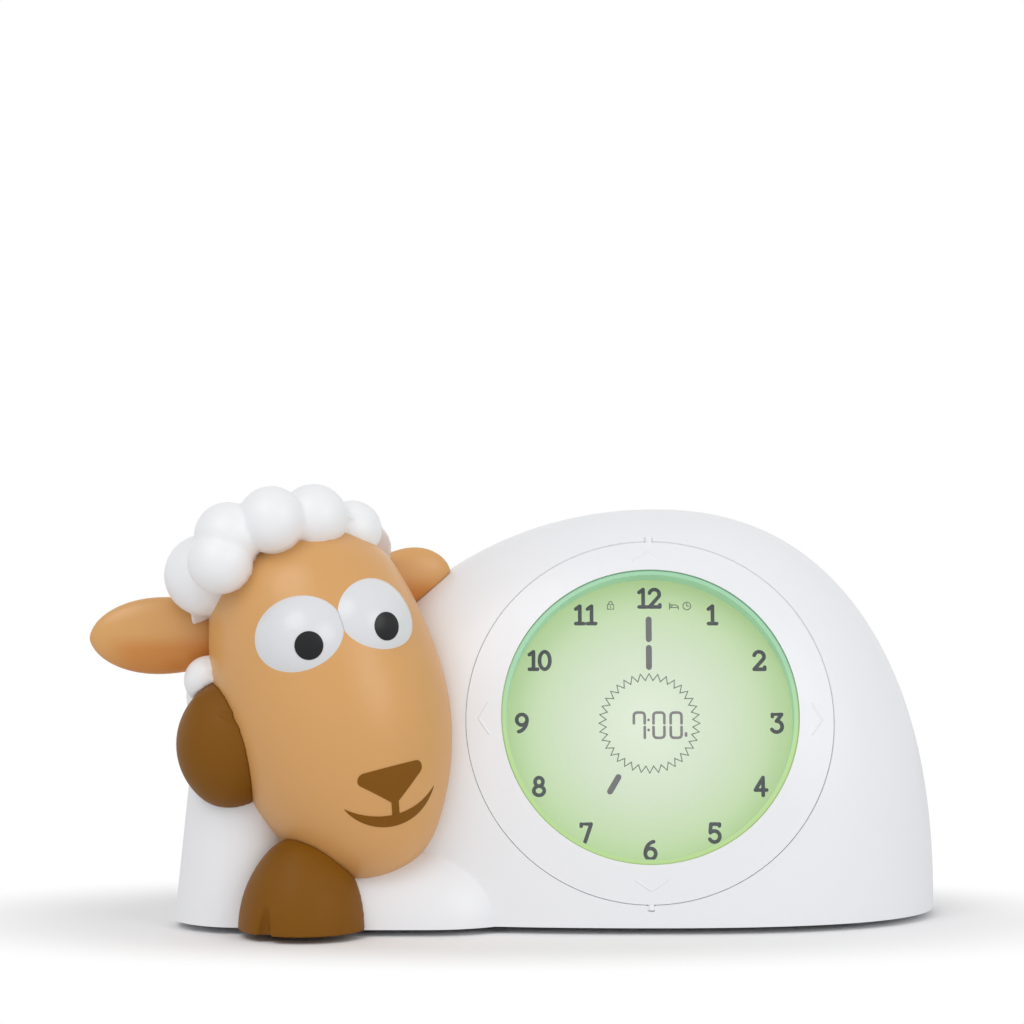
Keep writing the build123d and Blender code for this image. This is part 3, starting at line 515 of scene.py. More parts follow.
def print_lines(name, lines, half_line, finish):
    """Prints lines on the display's face."""
    settings = bpy.context.scene.clock_dial
    values = {"Half_Line": half_line * MM, "Half_Thick": settings.print_thick / 2 * MM}
    tree = bpy.data.node_groups["Printed strokes"]
    piece = grow(name, line_mesh(name, lines), tree, finish, **values)
    piece.data.transform(dial_place())
    return settle(piece, "case", "lcd_green")


def settle(piece, body, slot, *nodes):
    """Gives a finished piece its body and hides the CAD nodes that it stands for. The slot is not
    used.
    """
    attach(piece, body)
    if nodes:
        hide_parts(*nodes)
    return piece


def plain_piece(name, made, finish):
    """A bmesh as a piece of one finish."""
    mesh = bpy.data.meshes.new(name)
    made.to_mesh(mesh)
    made.free()
    mesh.materials.append(finish)
    piece = bpy.data.objects.new(name, mesh)
    bpy.context.scene.collection.objects.link(piece)
    return piece


def ink(name, colour):
    """Display ink: a flat colour, a little lit from behind, with a faint unevenness."""
    colour = tuple(colour)
    finish = Finish(name, Roughness=0.55, Emission_Strength=0.35)
    cloud = finish.noise(900.0, 2.0)
    finish.feed("Base Color", finish.blend(cloud, scaled(colour, 0.6), scaled(colour, 0.7)))
    finish.feed("Emission Color", finish.blend(cloud, scaled(colour, 0.94), scaled(colour, 1.05)))
    return finish.material


# -------- finishes of the CAD nodes


def dial_finish(name, finishes):
    """The lit display: it glows, brightest in the middle and greener towards the edge."""
    finish = Finish(name, Roughness=0.5, Emission_Strength=0.6)
    centre = tuple(dial_place().translation)
    away = finish.vectors("DISTANCE", finish.place, centre, "Value")
    uneven = finish.noise(16.0, 2.0) * 0.12 - 0.06
    share = away / GLOW_RADIUS + uneven
    middle, edge = finishes.dial_middle, finishes.dial_edge
    stops = [
        (0.0, finishes.dial_centre),
        (0.45, middle),
        (0.72, tuple(0.55 * a + 0.45 * b for a, b in zip(middle, edge))),
        (1.0, edge),
    ]
    glow = finish.node("ShaderNodeValToRGB", {"stops": stops}, {0: share})
    finish.feed("Emission Color", glow)
    finish.feed("Base Color", finish.blend(0.62, glow, (0.0, 0.0, 0.0)))
    return finish.material


def collar_finish(name, finishes):
    """The green wall round the display, with a painted glow standing for the display's light on it;
    the lower part of its rim has a brighter painted glow in the display edge's colour.
    """
    finish = Finish(name, Emission_Strength=0.3)
    colour = tuple(finishes.collar)
    cloud = finish.noise(60.0, 2.0)
    across, above = [
        finish.along(way) - sum(reach("display_collar", way)) / 2 for way in (DIAL_RIGHT, DIAL_UP)
    ]
    low, high = reach("display_collar", DIAL_RIGHT)
    inner = (high - low) / 2 - COLLAR_WALL
    away = (across * across + above * above) ** 0.5
    rim = finish.between(away, inner + 0.05 * MM, inner + 0.1 * MM)
    rim = rim * (1 - finish.between(above, *COLLAR_PAINTED_GLOW_FADE))
    green = finish.blend(cloud, scaled(colour, 0.7), scaled(colour, 0.76))
    lit = finish.blend(cloud, scaled(colour, 0.95), scaled(colour, 1.05))
    edge = tuple(finishes.dial_edge)
    # Painted glow: the wall emits its own green, and the lower rim the display edge's colour, for
    # the display's light falling on them.
    finish.feed("Base Color", finish.blend(rim, green, scaled(edge, 0.6)))
    finish.feed("Emission Color", finish.blend(rim, lit, scaled(edge, 1.5)))
    finish.feed("Roughness", 0.4 + 0.1 * finish.noise(300.0))
    return finish.material


def glass_finish(name):
    """The clear lens: nearly invisible, with a sheen where it is looked at along its face."""
    finish = Finish(name, Base_Color=(0.9, 0.95, 0.9), Specular_IOR_Level=0.5)
    edge = finish.node("ShaderNodeLayerWeight", None, {"Blend": 0.25}, output="Fresnel")
    finish.feed("Alpha", (0.04 + 0.2 * edge).clamped())
    finish.feed("Roughness", 0.05 + 0.06 * finish.noise(90.0))
    finish.material.surface_render_method = "BLENDED"
    return finish.material


def metal_finish(name, colour, roughness=0.32):
    """Plated steel with fine turning marks."""
    finish = Finish(name, Metallic=1.0)
    cloud = finish.noise(700.0, 3.0)
    finish.feed("Base Color", finish.blend(cloud, scaled(colour, 0.85), colour))
    finish.feed("Roughness", roughness - 0.08 + 0.16 * finish.noise(1800.0))
    finish.bump(finish.noise(5200.0), 0.004 * MM, 0.5)
    return finish.material


def rubber_finish(name, colour):
    finish = Finish(name, Sheen_Weight=0.15, Sheen_Roughness=0.5)
    cloud = finish.noise(160.0, 3.0)
    finish.feed("Base Color", finish.blend(cloud, scaled(colour, 0.86), scaled(colour, 1.08)))
    finish.feed("Roughness", 0.66 + 0.14 * finish.noise(700.0))
    finish.bump(finish.noise(3200.0, 3.0), 0.012 * MM, 0.8)
    return finish.material


def board_finish(name):
    """Circuit board: green solder mask with faint tracks."""
    finish = Finish(name, Coat_Weight=0.3, Coat_Roughness=0.2)
    values = {"Vector": finish.place, "Scale": 260.0}
    grid = finish.node("ShaderNodeTexVoronoi", {"distance": "CHEBYCHEV"}, values)
    tracks = finish.between(grid, 0.35, 0.42)
    finish.feed("Base Color", finish.blend(tracks, paint(22, 92, 52), paint(30, 112, 64)))
    finish.feed("Roughness", 0.35 + 0.15 * finish.noise(400.0))
    return finish.material


def ear_finish(name, finishes, node):
    """Tan plastic with a painted shade along the ear's lower half, standing for the shade of its
    inner fold, fading towards its tip.
    """
    finish = moulding(name, finishes.head, 0.34, 0.035, 0.004)
    low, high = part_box(node)
    middle = (low.z + high.z) / 2
    below = 1 - finish.between(finish.axis("Z"), *(middle + edge for edge in EAR_PAINTED_SHADE_EDGE))
    if node == "ear_left":
        tip = finish.between(finish.axis("X"), *(low.x + edge for edge in EAR_LEFT_FADE))
    else:
        tip = 1 - finish.between(finish.axis("X"), *(high.x + edge for edge in EAR_RIGHT_FADE))
    tan = Term(finish, finish.shader.inputs["Base Color"].links[0].from_socket)
    # Painted shade: the lower half, fading towards the tip, is darkened to the shade colour.
    finish.feed("Base Color", finish.blend(below * tip * 0.85, tan, tuple(finishes.ear_shade)))
    return finish.material


def finish_table(finishes):
    """Every finish, with the CAD nodes that wear it."""
    return (
        (
            moulded("Satin white", finishes.body, 0.34, 0.02, 0.005),
            ("front_shell", "rear_shell", "base_plate", "battery_door", "control_ring"),
        ),
        (moulded("Wool white", finishes.wool, 0.42, 0.02, 0.006), ("wool_cap",)),
        (moulded("Head tan", finishes.head, 0.33, 0.035, 0.004), ("head_shell",)),
        (ear_finish("Ear tan left", finishes, "ear_left"), ("ear_left",)),
        (ear_finish("Ear tan right", finishes, "ear_right"), ("ear_right",)),
        (
            moulded("Hoof brown", finishes.hooves, 0.5, 0.08, 0.006, shine=0.15),
            ("front_hoof", "cheek_hoof", "nose_mouth"),
        ),
        (moulded("Eye white", finishes.eye, 0.25, 0.01, 0.001), ("eye_left", "eye_right")),
        (
            moulded("Pupil black", finishes.pupil, 0.3, 0.02, 0.001, shine=0.3),
            ("pupil_left", "pupil_right"),
        ),
        (collar_finish("Lit green collar", finishes), ("display_collar",)),
        (glass_finish("Clear lens"), ("dial_lens",)),
        (dial_finish("Lit dial", finishes), ("lcd_panel",)),
        (moulded("Diffuser", paint(240, 242, 240), 0.5, 0.02, 0.004), ("backlight_diffuser",)),
        (
            moulded("Inside white", paint(228, 230, 232), 0.5, 0.03, 0.01),
            ("display_housing", "battery_tray"),
        ),
        (board_finish("Circuit board"), ("main_board", "control_board")),
        (moulded("Lamp yellow", paint(238, 226, 150), 0.3, 0.04, 0.003), ("backlight_leds",)),
        (moulded("Panel grey", paint(214, 217, 221), 0.42, 0.03, 0.01), ("control_panel",)),
        (
            rubber_finish("Button grey", paint(160, 166, 172)),
            ("time_button", "alarm_button", "nap_button", "volume_button"),
        ),
        (rubber_finish("Button green", paint(122, 176, 124)), ("light_button",)),
        (
            moulded("Black plastic", paint(32, 33, 35), 0.4, 0.1, 0.006),
            ("mode_switch", "tact_switches", "speaker"),
        ),
        (moulded("Battery wrap", paint(70, 92, 120), 0.3, 0.05, 0.003), ("batteries",)),
        (rubber_finish("Foot rubber", paint(150, 152, 155)), ("rubber_feet", "ring_keypad")),
        (
            metal_finish("Plated steel", paint(196, 198, 202)),
            ("base_screws", "case_screws", "display_screws", "head_screw", "door_screw")
            + ("battery_contacts", "usb_socket", "slide_switch_body"),
        ),
    )


class CLOCK_OT_finishes(Operator):
    """Gives every moulded, metal, rubber and lit part its finish"""

    bl_idname = "clock.finishes"
    bl_label = "Finishes"

    def execute(self, context):
        for material, nodes in finish_table(context.scene.clock_finishes):
            for node in nodes:
                slots = frame["nodes"][node].data.materials
                slots.clear()
                slots.append(material)
        return {"FINISHED"}


# -------- printed dial


def numeral_lines(sizes):
    """The twelve hours, upright round the dial."""
    lines = []
    for hour in range(1, 13):
        angle = math.radians(90 - 30 * hour)
        x = sizes.numeral_radius * math.cos(angle)
        y = sizes.numeral_radius * math.sin(angle)
        text = str(hour)
        pitch = 0.66 * sizes.numeral_height
        for i, figure in enumerate(text):
            shift = (i - (len(text) - 1) / 2) * pitch
            lines += placed(FIGURES[figure], x + shift, y, sizes.numeral_height)
    return lines


def segment_lines(figure, x, y, wide, high):
    """A 0 or a 7 of the digital time, with rounded corners and a gap at its middle."""
    w, h, r, gap = wide / 2, high / 2, 0.9, 0.5
    top = [(-w, gap), (-w, h - r)] + arc(r - w, h - r, r, r, 180, 90, 5)
    top += arc(w - r, h - r, r, r, 90, 0, 5) + [(w, gap)]
    if figure == "7":
        low = [(w, -gap), (w, -h)]
    else:
        low = [(a, -b) for a, b in top]
    return placed([top, low], x, y, 1)


def hand_bar(angle, start, end):
    """A bar of a hand, from one radius to another, clockwise from the top."""
    a = math.radians(90 - angle)
    return [(start * math.cos(a), start * math.sin(a)), (end * math.cos(a), end * math.sin(a))]


ICONS = {
    "lock": [
        [(-0.8, -1.0), (0.8, -1.0), (0.8, 0.2), (-0.8, 0.2), (-0.8, -1.0)],
        arc(0.0, 0.2, 0.5, 0.85, 0, 180, 10),
        [(0.0, -0.55), (0.0, -0.25)],
    ],
    "bed": [
        [(-1.2, -0.9), (-1.2, 0.9)],
        [(-1.2, -0.4), (1.2, -0.4)],
        [(1.2, -0.9), (1.2, -0.4)],
        arc(0.1, -0.4, 1.1, 0.75, 0, 110, 8),
        arc(-0.75, 0.15, 0.28, 0.28, 0, 360, 10),
    ],
    "clock": [arc(0, 0, 1.05, 1.05, 0, 360, 20), [(0, 0), (0, 0.65)], [(0, 0), (0.5, 0)]],
    "bell": [
        [(-1.0, -0.6), (1.0, -0.6)],
        [(-0.72, -0.6)] + arc(0, 0.25, 0.62, 0.7, 180, 0, 10) + [(0.72, -0.6)],
        arc(0, -0.85, 0.2, 0.16, 180, 360, 6),
    ],
    "moon": [arc(0, 0, 1.0, 1.0, 50, 310, 18) + arc(0.62, 0.0, 0.77, 0.77, 270, 90, 12)],
    "bulb": [
        arc(0, 0.25, 0.72, 0.72, -60, 240, 16),
        [(-0.36, -0.45), (-0.36, -0.75), (0.36, -0.75), (0.36, -0.45)],
        [(-0.2, -1.05), (0.2, -1.05)],
    ],
    "sound": [
        [(-1.0, -0.35), (-0.55, -0.35), (0.05, -0.85)]
        + [(0.05, 0.85), (-0.55, 0.35), (-1.0, 0.35), (-1.0, -0.35)],
        arc(0.1, 0.0, 0.55, 0.6, -45, 45, 6),
        arc(0.1, 0.0, 1.0, 1.05, -45, 45, 8),
    ],
}


HANDS = ((0, 24.4, 30.2), (0, 16.3, 21.9), (210, 17.9, 22.7))  # angle, inner and outer radius
DIGITS = (("7", -2.9), ("0", 2.7), ("0", 7.6))  # figure and its middle
DIGIT_WIDE, DIGIT_Y = 3.1, -0.55
TIME_MARKS = [
    [(-0.25, 0.9), (-0.25, 1.0)],
    [(-0.25, -2.0), (-0.25, -1.9)],
    [(10.4, -3.6), (10.4, -2.9)],
]
DIAL_ICONS = (("lock", -10.9, 34.3, 1.1), ("bed", 7.3, 34.1, 1.05), ("clock", 11.0, 34.1, 1.05))


class CLOCK_OT_dial(Operator):
    """Prints the numerals, hands, digital time, zigzag ring and icons on the display"""

    bl_idname = "clock.dial"
    bl_label = "Dial marks"

    def execute(self, context):
        sizes = context.scene.clock_dial
        finishes = context.scene.clock_finishes
        dark = ink("Numeral ink", finishes.numerals)
        hand = ink("Hand ink", finishes.hands)
        grey = ink("Digit ink", finishes.digits)
        fine = ink("Fine ink", finishes.marks)
        stroke_tree()
        print_lines("dial_numerals", numeral_lines(sizes), sizes.numeral_line, dark)
        bars = [hand_bar(*bar) for bar in HANDS]
        print_lines("dial_hands", bars, sizes.hand_line, hand)
        figures = []
        for figure, x in DIGITS:
            figures += segment_lines(figure, x, DIGIT_Y, DIGIT_WIDE, sizes.digit_height)
        print_lines("dial_digits", figures + TIME_MARKS, sizes.digit_line, grey)
        icons = []
        for icon, *spot in DIAL_ICONS:
            icons += placed(ICONS[icon], *spot)
        print_lines("dial_icons", icons, sizes.icon_line, fine)
        values = {
            "Teeth": sizes.zigzag_teeth,
            "Inner": sizes.zigzag_inner * MM,
            "Outer": sizes.zigzag_outer * MM,
            "Half_Line": sizes.mark_line * MM,
            "Half_Thick": sizes.print_thick / 2 * MM,
        }
        start = line_mesh("zigzag", [[(0, 0), (1, 0)]])
        ring = grow("dial_zigzag", start, zigzag_tree(), fine, **values)
        ring.data.transform(dial_place())
        settle(ring, "case", "lcd_green")
        return {"FINISHED"}


# -------- raised marks on moulded parts


LAY_STEP = 0.7  # millimetres between a laid line's points
LAY_HEIGHT = 60 * MM  # from which marks drop onto a surface


def welded(node):
    """A CAD node's surface with its loose triangles joined."""
    made = bmesh.new()
    made.from_mesh(frame["nodes"][node].data)
    bmesh.ops.remove_doubles(made, verts=made.verts, dist=0.002 * MM)
    return made


def surface(node):
    """A CAD node's surface, for laying marks on it."""
    mesh = bmesh.new()
    mesh.from_mesh(frame["nodes"][node].data)
    tree = BVHTree.FromBMesh(mesh)
    mesh.free()
    return tree


def laid(lines, place, node):
    """Flat lines in millimetres, dropped onto a node's surface along their plane's normal."""
    tree = surface(node)
    out = place.to_3x3() @ Vector((0.0, 0.0, 1.0))
    dropped = []
    for line in lines:
        points = []
        for (x0, y0), (x1, y1) in zip(line, line[1:]):
            steps = max(1, round(math.dist((x0, y0), (x1, y1)) / LAY_STEP))
            for i in range(steps + (1 if (x1, y1) == line[-1] else 0)):
                flat = Vector((x0 + (x1 - x0) * i / steps, y0 + (y1 - y0) * i / steps, 0.0)) * MM
                start = place @ flat + out * LAY_HEIGHT
                hit = tree.ray_cast(start, -out)[0]
                if hit is None:
                    raise RuntimeError("a raised mark misses " + node)
                points.append(tuple(hit / MM))
        dropped.append(points)
    return dropped


ARROW = [(45.6, 4.6), (48.6, 0.0), (45.6, -4.6)]


class CLOCK_OT_ring_marks(Operator):
    """Raises a small arrow on each side of the control ring"""

    bl_idname = "clock.ring_marks"
    bl_label = "Ring arrows"

    def execute(self, context):
        sizes = context.scene.clock_dial
        lines = [[(side * x, y) for x, y in ARROW] for side in (-1, 1)]
        lines += [[(-y, side * x) for x, y in ARROW] for side in (1, -1)]
        dropped = laid(lines, dial_place(), "control_ring")
        white = bpy.data.materials["Satin white"]
        values = {"Half_Line": sizes.arrow_line * MM}
        piece = grow("ring_arrows", line_mesh("arrows", dropped), raised_tree(), white, **values)
        piece.data.transform(Matrix.Translation(DIAL_OUT * -sizes.arrow_sink * MM))
        for face in piece.data.polygons:
            face.use_smooth = True
        settle(piece, "control_ring", "body_white")
        return {"FINISHED"}


GROOVE_PROBE = 0.6 * MM  # the shell's height is taken this far outside the lip, and twice as far


class CLOCK_OT_groove(Operator):
    """Closes the gap round the control ring with a lip a little below the surface"""

    bl_idname = "clock.groove"
    bl_label = "Ring groove"

    def execute(self, context):
        sizes = context.scene.clock_body
        lift = DIAL_UP * (DIAL_DROP - sizes.ring_drop * MM)
        middle = Matrix.Translation(lift) @ dial_place()
        shell = surface("front_shell")
        inner, outer = sizes.groove_inner * MM, sizes.groove_outer * MM
        made = bmesh.new()
        rings = []
        for i in range(sizes.groove_steps):
            angle = 2 * math.pi * i / sizes.groove_steps
            way = Vector((math.cos(angle), math.sin(angle), 0.0))
            levels = []
            for past in (GROOVE_PROBE, 2 * GROOVE_PROBE):
                start = middle @ (way * (outer + past) + Vector((0, 0, LAY_HEIGHT)))
                hit = shell.ray_cast(start, -DIAL_OUT)[0]
                if hit is None:
                    raise RuntimeError("the shell isn't found beside the ring")
                levels.append((middle.inverted() @ hit).z)
            top = 2 * levels[0] - levels[1] - sizes.groove_depth * MM
            foot = top - sizes.groove_thick * MM
            corners = ((inner, top), (outer, top), (outer, foot), (inner, foot))
            spots = [middle @ (way * r + Vector((0, 0, z))) for r, z in corners]
            rings.append([made.verts.new(spot) for spot in spots])
        for first, second in zip(rings, rings[1:] + rings[:1]):
            for a in range(4):
                b = (a + 1) % 4
                made.faces.new((first[a], second[a], second[b], first[b]))
        bmesh.ops.recalc_face_normals(made, faces=made.faces)
        piece = plain_piece("ring_groove", made, bpy.data.materials["Satin white"])
        settle(piece, "case", "body_white")
        return {"FINISHED"}


# -------- rear marks and screw slots


def cross_tree():
    """A thin dark cross on each point, a painted shade standing for a screw's cross recess, turned
    to the screw's axis.
    """
    shape = Shape("Screw crosses", Arm="Float", Width="Float", Depth="Float")
    given = shape.given
    bars = []
    for long_side in (0, 1):
        sides = [given["Width"], given["Width"], given["Depth"]]
        sides[long_side] = given["Arm"]
        size = shape.node("ShaderNodeCombineXYZ", None, dict(enumerate(sides)))
        bars.append(shape.node("GeometryNodeMeshCube", None, {"Size": size}))
    settings = {"data_type": "FLOAT_VECTOR"}
    axis = shape.node("GeometryNodeInputNamedAttribute", settings, {"Name": "axis"})
    facing = shape.node("FunctionNodeAlignRotationToVector", {"axis": "Z"}, {"Vector": axis})
    values = {"Points": given["Geometry"], "Instance": shape.joined(*bars), "Rotation": facing}
    return shape.done(shape.node("GeometryNodeInstanceOnPoints", None, values))


def islands(node):
    """The separate lumps of a CAD node, each as its vertices' places."""
    made = welded(node)
    seen = set()
    lumps = []
    for first in made.verts:
        if first in seen:
            continue
        seen.add(first)
        edge, lump = [first], []
        while edge:
            vertex = edge.pop()
            lump.append(vertex.co.copy())
            for link in vertex.link_edges:
                other = link.other_vert(vertex)
                if other not in seen:
                    seen.add(other)
                    edge.append(other)
        lumps.append(lump)
    made.free()
    return lumps


def head_middle(lump, axis):
    """The middle of a screw's outer face."""
    top = max(co.dot(axis) for co in lump)
    rim = [co for co in lump if co.dot(axis) > top - 0.05 * MM]
    return sum(rim, Vector()) / len(rim)


def door_out():
    """The direction in which the door's screw faces."""
    faces = [f for f in frame["nodes"]["door_screw"].data.polygons if f.normal.y > 0.7]
    normal = max(faces, key=lambda face: face.area).normal
    return Vector((0.0, normal.y, normal.z)).normalized()


class CLOCK_OT_screws(Operator):
    """Lays a thin dark cross on each screw that shows, painted shade standing for its cross recess
    """

    bl_idname = "clock.screws"
    bl_label = "Screw recesses"

    def execute(self, context):
        sizes = context.scene.clock_body
        tree = cross_tree()
        # The darker steel of the crosses is painted shade for the hollow of each recess.
        dark = metal_finish("Recess steel", paint(96, 98, 102), 0.5)
        values = {
            "Arm": sizes.cross_arm * MM,
            "Width": sizes.cross_width * MM,
            "Depth": sizes.cross_depth * MM,
        }
        for node, body, axis in (
            ("case_screws", "case", Vector((0, 1, 0))),
            ("base_screws", "case", Vector((0, 0, -1))),
            ("door_screw", "battery_door", door_out()),
        ):
            mesh = bpy.data.meshes.new(node)
            places = [head_middle(lump, axis) for lump in islands(node)]
            mesh.from_pydata(places, [], [])
            axes = mesh.attributes.new("axis", "FLOAT_VECTOR", "POINT")
            axes.data.foreach_set("vector", [*axis] * len(places))
            piece = grow(node + "_recess", mesh, tree, dark, **values)
            settle(piece, body, "steel")
        return {"FINISHED"}


class CLOCK_OT_rear_marks(Operator):
    """Prints a small sign under each button at the rear"""

    bl_idname = "clock.rear_marks"
    bl_label = "Rear signs"

    def execute(self, context):
        sizes = context.scene.clock_body
        out = -joint_axis("time_button_press")
        up = Vector((0.0, -out.z, out.y))
        turn = Matrix((Vector((-1, 0, 0)), up, out)).transposed().to_4x4()
        grey = moulded("Sign grey", paint(92, 96, 102), 0.5, 0.05, 0.003)
        tree = bpy.data.node_groups["Raised ribs"]
        face = reach("control_panel", out)[1]
        dropped = []
        for button, sign in (
            ("time_button", "clock"),
            ("alarm_button", "bell"),
            ("nap_button", "moon"),
            ("light_button", "bulb"),
            ("volume_button", "sound"),
        ):
            low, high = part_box(button)
            under = reach(button, up)[0] - sizes.sign_drop * MM
            spot = Vector(((low.x + high.x) / 2, 0, 0)) + up * under + out * face
            place = Matrix.Translation(spot) @ turn
            dropped += laid(placed(ICONS[sign], 0, 0, sizes.sign_size), place, "control_panel")
        values = {"Half_Line": sizes.sign_line * MM}
        piece = grow("rear_signs", line_mesh("signs", dropped), tree, grey, **values)
        settle(piece, "case", "black_plastic")
        return {"FINISHED"}


# -------- wool, ears and hooves


def head_core(sink):
    """The head's closed outer form, sunk below its skin."""
    made = welded("head_shell")
    hull = bmesh.ops.convex_hull(made, input=made.verts)
    bmesh.ops.delete(made, geom=hull["geom_interior"] + hull["geom_unused"], context="VERTS")
    bmesh.ops.recalc_face_normals(made, faces=made.faces)
    made.normal_update()
    for vertex in made.verts:
        vertex.co -= vertex.normal * sink
    return made


def soft_copy(node, cell, passes, core=None):
    """A copy of a CAD node whose creases and edges are rounded as in a soft moulding."""
    mesh = bpy.data.meshes.new(node + "_soft")
    made = welded(node)
    if core is not None:
        inside = bpy.data.meshes.new("core")
        core.to_mesh(inside)
        made.from_mesh(inside)
        bpy.data.meshes.remove(inside)
    made.to_mesh(mesh)
    made.free()
    piece = bpy.data.objects.new(node + "_soft", mesh)
    bpy.context.scene.collection.objects.link(piece)
    remesh = piece.modifiers.new("Cells", "REMESH")
    remesh.mode = "VOXEL"
    remesh.voxel_size = cell * MM
    remesh.use_smooth_shade = True
    smooth = piece.modifiers.new("Soften", "SMOOTH")
    smooth.factor = 0.5
    smooth.iterations = passes
    ready = piece.evaluated_get(bpy.context.evaluated_depsgraph_get())
    soft = bpy.data.meshes.new_from_object(ready)
    piece.modifiers.clear()
    piece.data = soft
    soft.name = node + "_soft"
    bpy.data.meshes.remove(mesh)
    soft.materials.clear()
    soft.materials.append(frame["nodes"][node].data.materials[0])
    for face in soft.polygons:
        face.use_smooth = True
    return piece


class CLOCK_OT_wool(Operator):
    """Softens the curls of the wool cap"""

    bl_idname = "clock.wool"
    bl_label = "Wool"

    def execute(self, context):
        sizes = context.scene.clock_soft
        core = head_core(sizes.wool_sink * MM)
        piece = soft_copy("wool_cap", sizes.wool_cell, sizes.wool_passes, core)
        made = bmesh.new()
        made.from_mesh(piece.data)
        skin = BVHTree.FromBMesh(core)
        middle = sum((v.co for v in core.verts), Vector()) / len(core.verts)
        least = 0.3 * sizes.wool_sink * MM
        hidden = []
        for vertex in made.verts:
            spot = skin.find_nearest(vertex.co)[0]
            rise = vertex.co - spot
            if rise.length < least or rise.dot(spot - middle) < 0:
                hidden.append(vertex)
        bmesh.ops.delete(made, geom=hidden, context="VERTS")
        made.to_mesh(piece.data)
        made.free()
        core.free()
        settle(piece, "case", "wool_white", "wool_cap")
        return {"FINISHED"}


class CLOCK_OT_trim(Operator):
    """Softens the edges of the ears and hooves"""

    bl_idname = "clock.trim"
    bl_label = "Ears and hooves"

    def execute(self, context):
        sizes = context.scene.clock_soft
        for node, slot in (
            ("ear_left", "head_tan"),
            ("ear_right", "head_tan"),
            ("front_hoof", "hoof_brown"),
            ("cheek_hoof", "hoof_brown"),
        ):
            piece = soft_copy(node, sizes.trim_cell, sizes.trim_passes)
            settle(piece, "case", slot, node)
        return {"FINISHED"}


# -------- studio


FLOOR_HALF = 6.0
FLOOR_SHADE = (0.105, 0.2)  # distances between which the floor's own shade fades to white
FLOOR_STRETCH = 1.9  # the fade's oval is this much wider than deep
LAMPS = (  # name, size, place and aim
    ("key", 1.1, (-0.6, -1.0, 1.3), (0.0, 0.0, 0.05)),
    ("fill", 1.0, (1.1, -1.1, 0.7), (0.0, 0.0, 0.06)),
)
CAMERA_PLACE = (-0.0005, -1.0958, 0.1559)
CAMERA_TILT = math.radians(90 - 1.99)
CAMERA_LENS, CAMERA_SENSOR = 133.4, 36.0


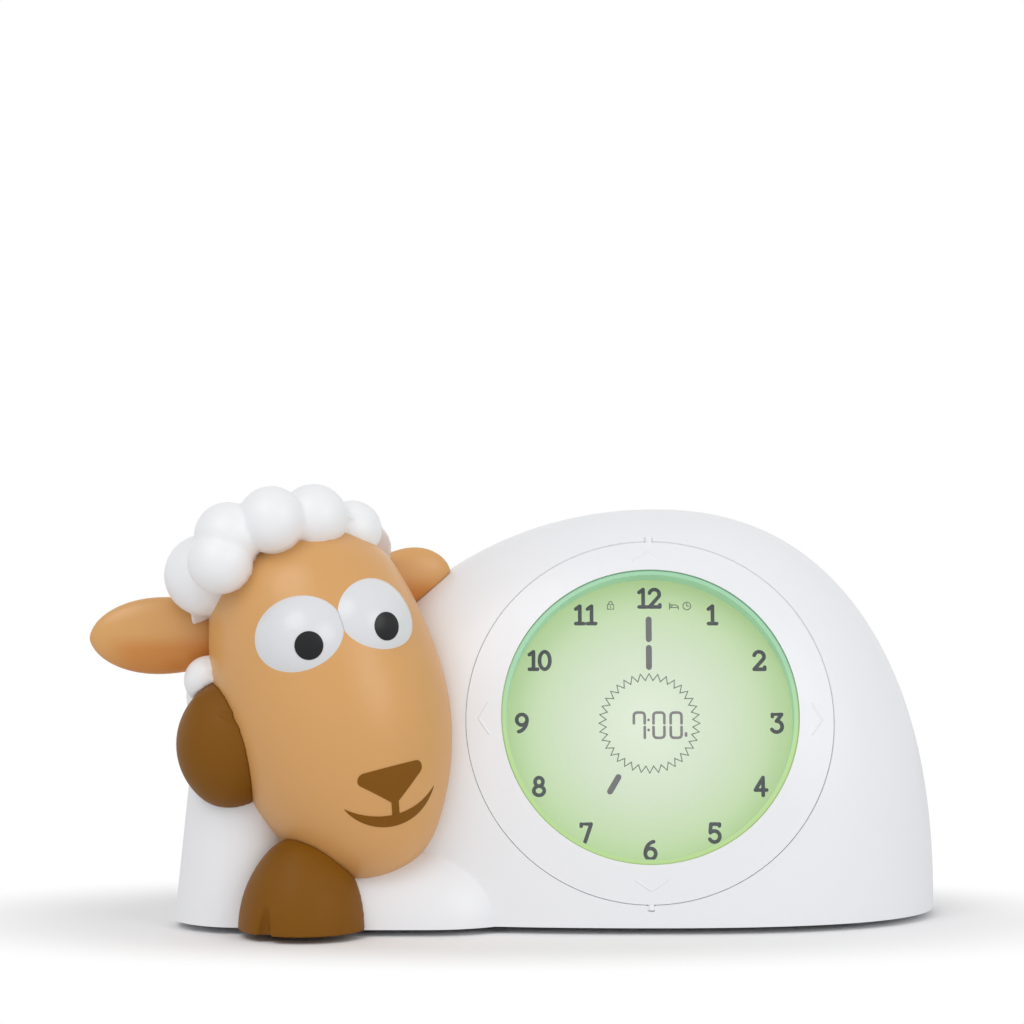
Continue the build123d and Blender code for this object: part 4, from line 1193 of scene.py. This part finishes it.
class CLOCK_OT_stage(Operator):
    """Makes the floor, the soft lamps, the even world light and the camera"""

    bl_idname = "clock.stage"
    bl_label = "Studio"

    def execute(self, context):
        settings = context.scene.clock_stage
        self.floor(settings)
        self.world(settings)
        self.lamps(settings)
        self.camera(context)
        context.scene.view_settings.view_transform = "Standard"
        return {"FINISHED"}

    def floor(self, settings):
        """A plain floor that takes the clock's shadow and fades to white around it."""
        mesh = bpy.data.meshes.new("studio_floor")
        corners = ((-1, -1), (1, -1), (1, 1), (-1, 1))
        places = [(x * FLOOR_HALF, y * FLOOR_HALF, 0.0) for x, y in corners]
        mesh.from_pydata(places, [], [(0, 1, 2, 3)])
        colour = tuple(settings.floor)
        finish = Finish("Studio floor", Base_Color=colour, Roughness=0.9, Specular_IOR_Level=0.1)
        values = {"Color": (1.0, 1.0, 1.0, 1.0), "Strength": 1.0}
        white = finish.node("ShaderNodeEmission", None, values)
        ray = finish.tree.nodes.new("ShaderNodeLightPath")
        seen = Term(finish, ray.outputs["Is Camera Ray"])
        oval = finish.vectors("MULTIPLY", finish.place, (1.0, FLOOR_STRETCH, 1.0))
        away = finish.vectors("DISTANCE", oval, (0.0, 0.0, 0.0), "Value")
        fade = finish.between(away, *FLOOR_SHADE)
        values = {0: seen * fade, 1: Term(finish, finish.shader.outputs[0]), 2: white}
        mixed = finish.node("ShaderNodeMixShader", None, values)
        finish.tree.links.new(mixed.socket, finish.end.inputs["Surface"])
        mesh.materials.append(finish.material)
        floor = bpy.data.objects.new("studio_floor", mesh)
        bpy.context.scene.collection.objects.link(floor)

    def world(self, settings):
        """An even light whose own picture is white in the background and in reflections."""
        world = bpy.data.worlds.new("Studio")
        bpy.context.scene.world = world
        world.use_nodes = True
        tree = Tree(world.node_tree)
        tree.tree.nodes.clear()
        ray = tree.tree.nodes.new("ShaderNodeLightPath")
        kinds = ("Is Camera Ray", "Is Glossy Ray", "Is Transmission Ray")
        seen, glossy, through = [Term(tree, ray.outputs[kind]) for kind in kinds]
        shown = (seen + glossy + through).clamped()
        even = settings.world_light
        values = {"Color": (1.0, 1.0, 1.0, 1.0), "Strength": even + (1.0 - even) * shown}
        sky = tree.node("ShaderNodeBackground", None, values)
        tree.tree.links.new(sky.socket, tree.tree.nodes.new("ShaderNodeOutputWorld").inputs[0])

    def lamps(self, settings):
        for name, size, place, aim in LAMPS:
            data = bpy.data.lights.new(name + "_lamp", "AREA")
            data.shape = "DISK"
            data.size = size
            data.energy = getattr(settings, name + "_power")
            lamp = bpy.data.objects.new(name + "_lamp", data)
            lamp.location = place
            lamp.rotation_euler = (Vector(aim) - Vector(place)).to_track_quat("-Z", "Y").to_euler()
            bpy.context.scene.collection.objects.link(lamp)

    def camera(self, context):
        data = bpy.data.cameras.new("camera")
        data.lens = CAMERA_LENS
        data.sensor_width = CAMERA_SENSOR
        camera = bpy.data.objects.new("camera", data)
        camera.location = CAMERA_PLACE
        camera.rotation_euler = (CAMERA_TILT, 0.0, 0.0)
        context.scene.collection.objects.link(camera)
        context.scene.camera = camera


class CLOCK_PT_sidebar(Panel):
    """Lists the clock's steps in the order in which they run"""

    bl_idname = "CLOCK_PT_sidebar"
    bl_label = "Lamb Night Clock"
    bl_space_type = "VIEW_3D"
    bl_region_type = "UI"
    bl_category = "Clock"

    def draw(self, context):
        for step in STEPS:
            self.layout.operator(step.bl_idname)
        for group in GROUPS:
            box = self.layout.box()
            owner = getattr(context.scene, group)
            for name in owner.__annotations__:
                box.prop(owner, name)


STEPS = (
    CLOCK_OT_stage,
    CLOCK_OT_finishes,
    CLOCK_OT_dial,
    CLOCK_OT_ring_marks,
    CLOCK_OT_groove,
    CLOCK_OT_screws,
    CLOCK_OT_rear_marks,
    CLOCK_OT_wool,
    CLOCK_OT_trim,
)
GROUPS = {
    "clock_finishes": ClockFinishes,
    "clock_dial": DialSizes,
    "clock_body": BodySizes,
    "clock_soft": SoftSizes,
    "clock_stage": StageSettings,
}


def register():
    for item in (*GROUPS.values(), *STEPS, CLOCK_PT_sidebar):
        bpy.utils.register_class(item)
    for name, group in GROUPS.items():
        setattr(bpy.types.Scene, name, PointerProperty(type=group))


def unregister():
    for name in GROUPS:
        delattr(bpy.types.Scene, name)
    for item in (CLOCK_PT_sidebar, *reversed(STEPS), *GROUPS.values()):
        bpy.utils.unregister_class(item)


def main():
    register()
    for step in STEPS:
        family, action = step.bl_idname.split(".")
        getattr(getattr(bpy.ops, family), action)()


if __name__ == "__main__":
    main()
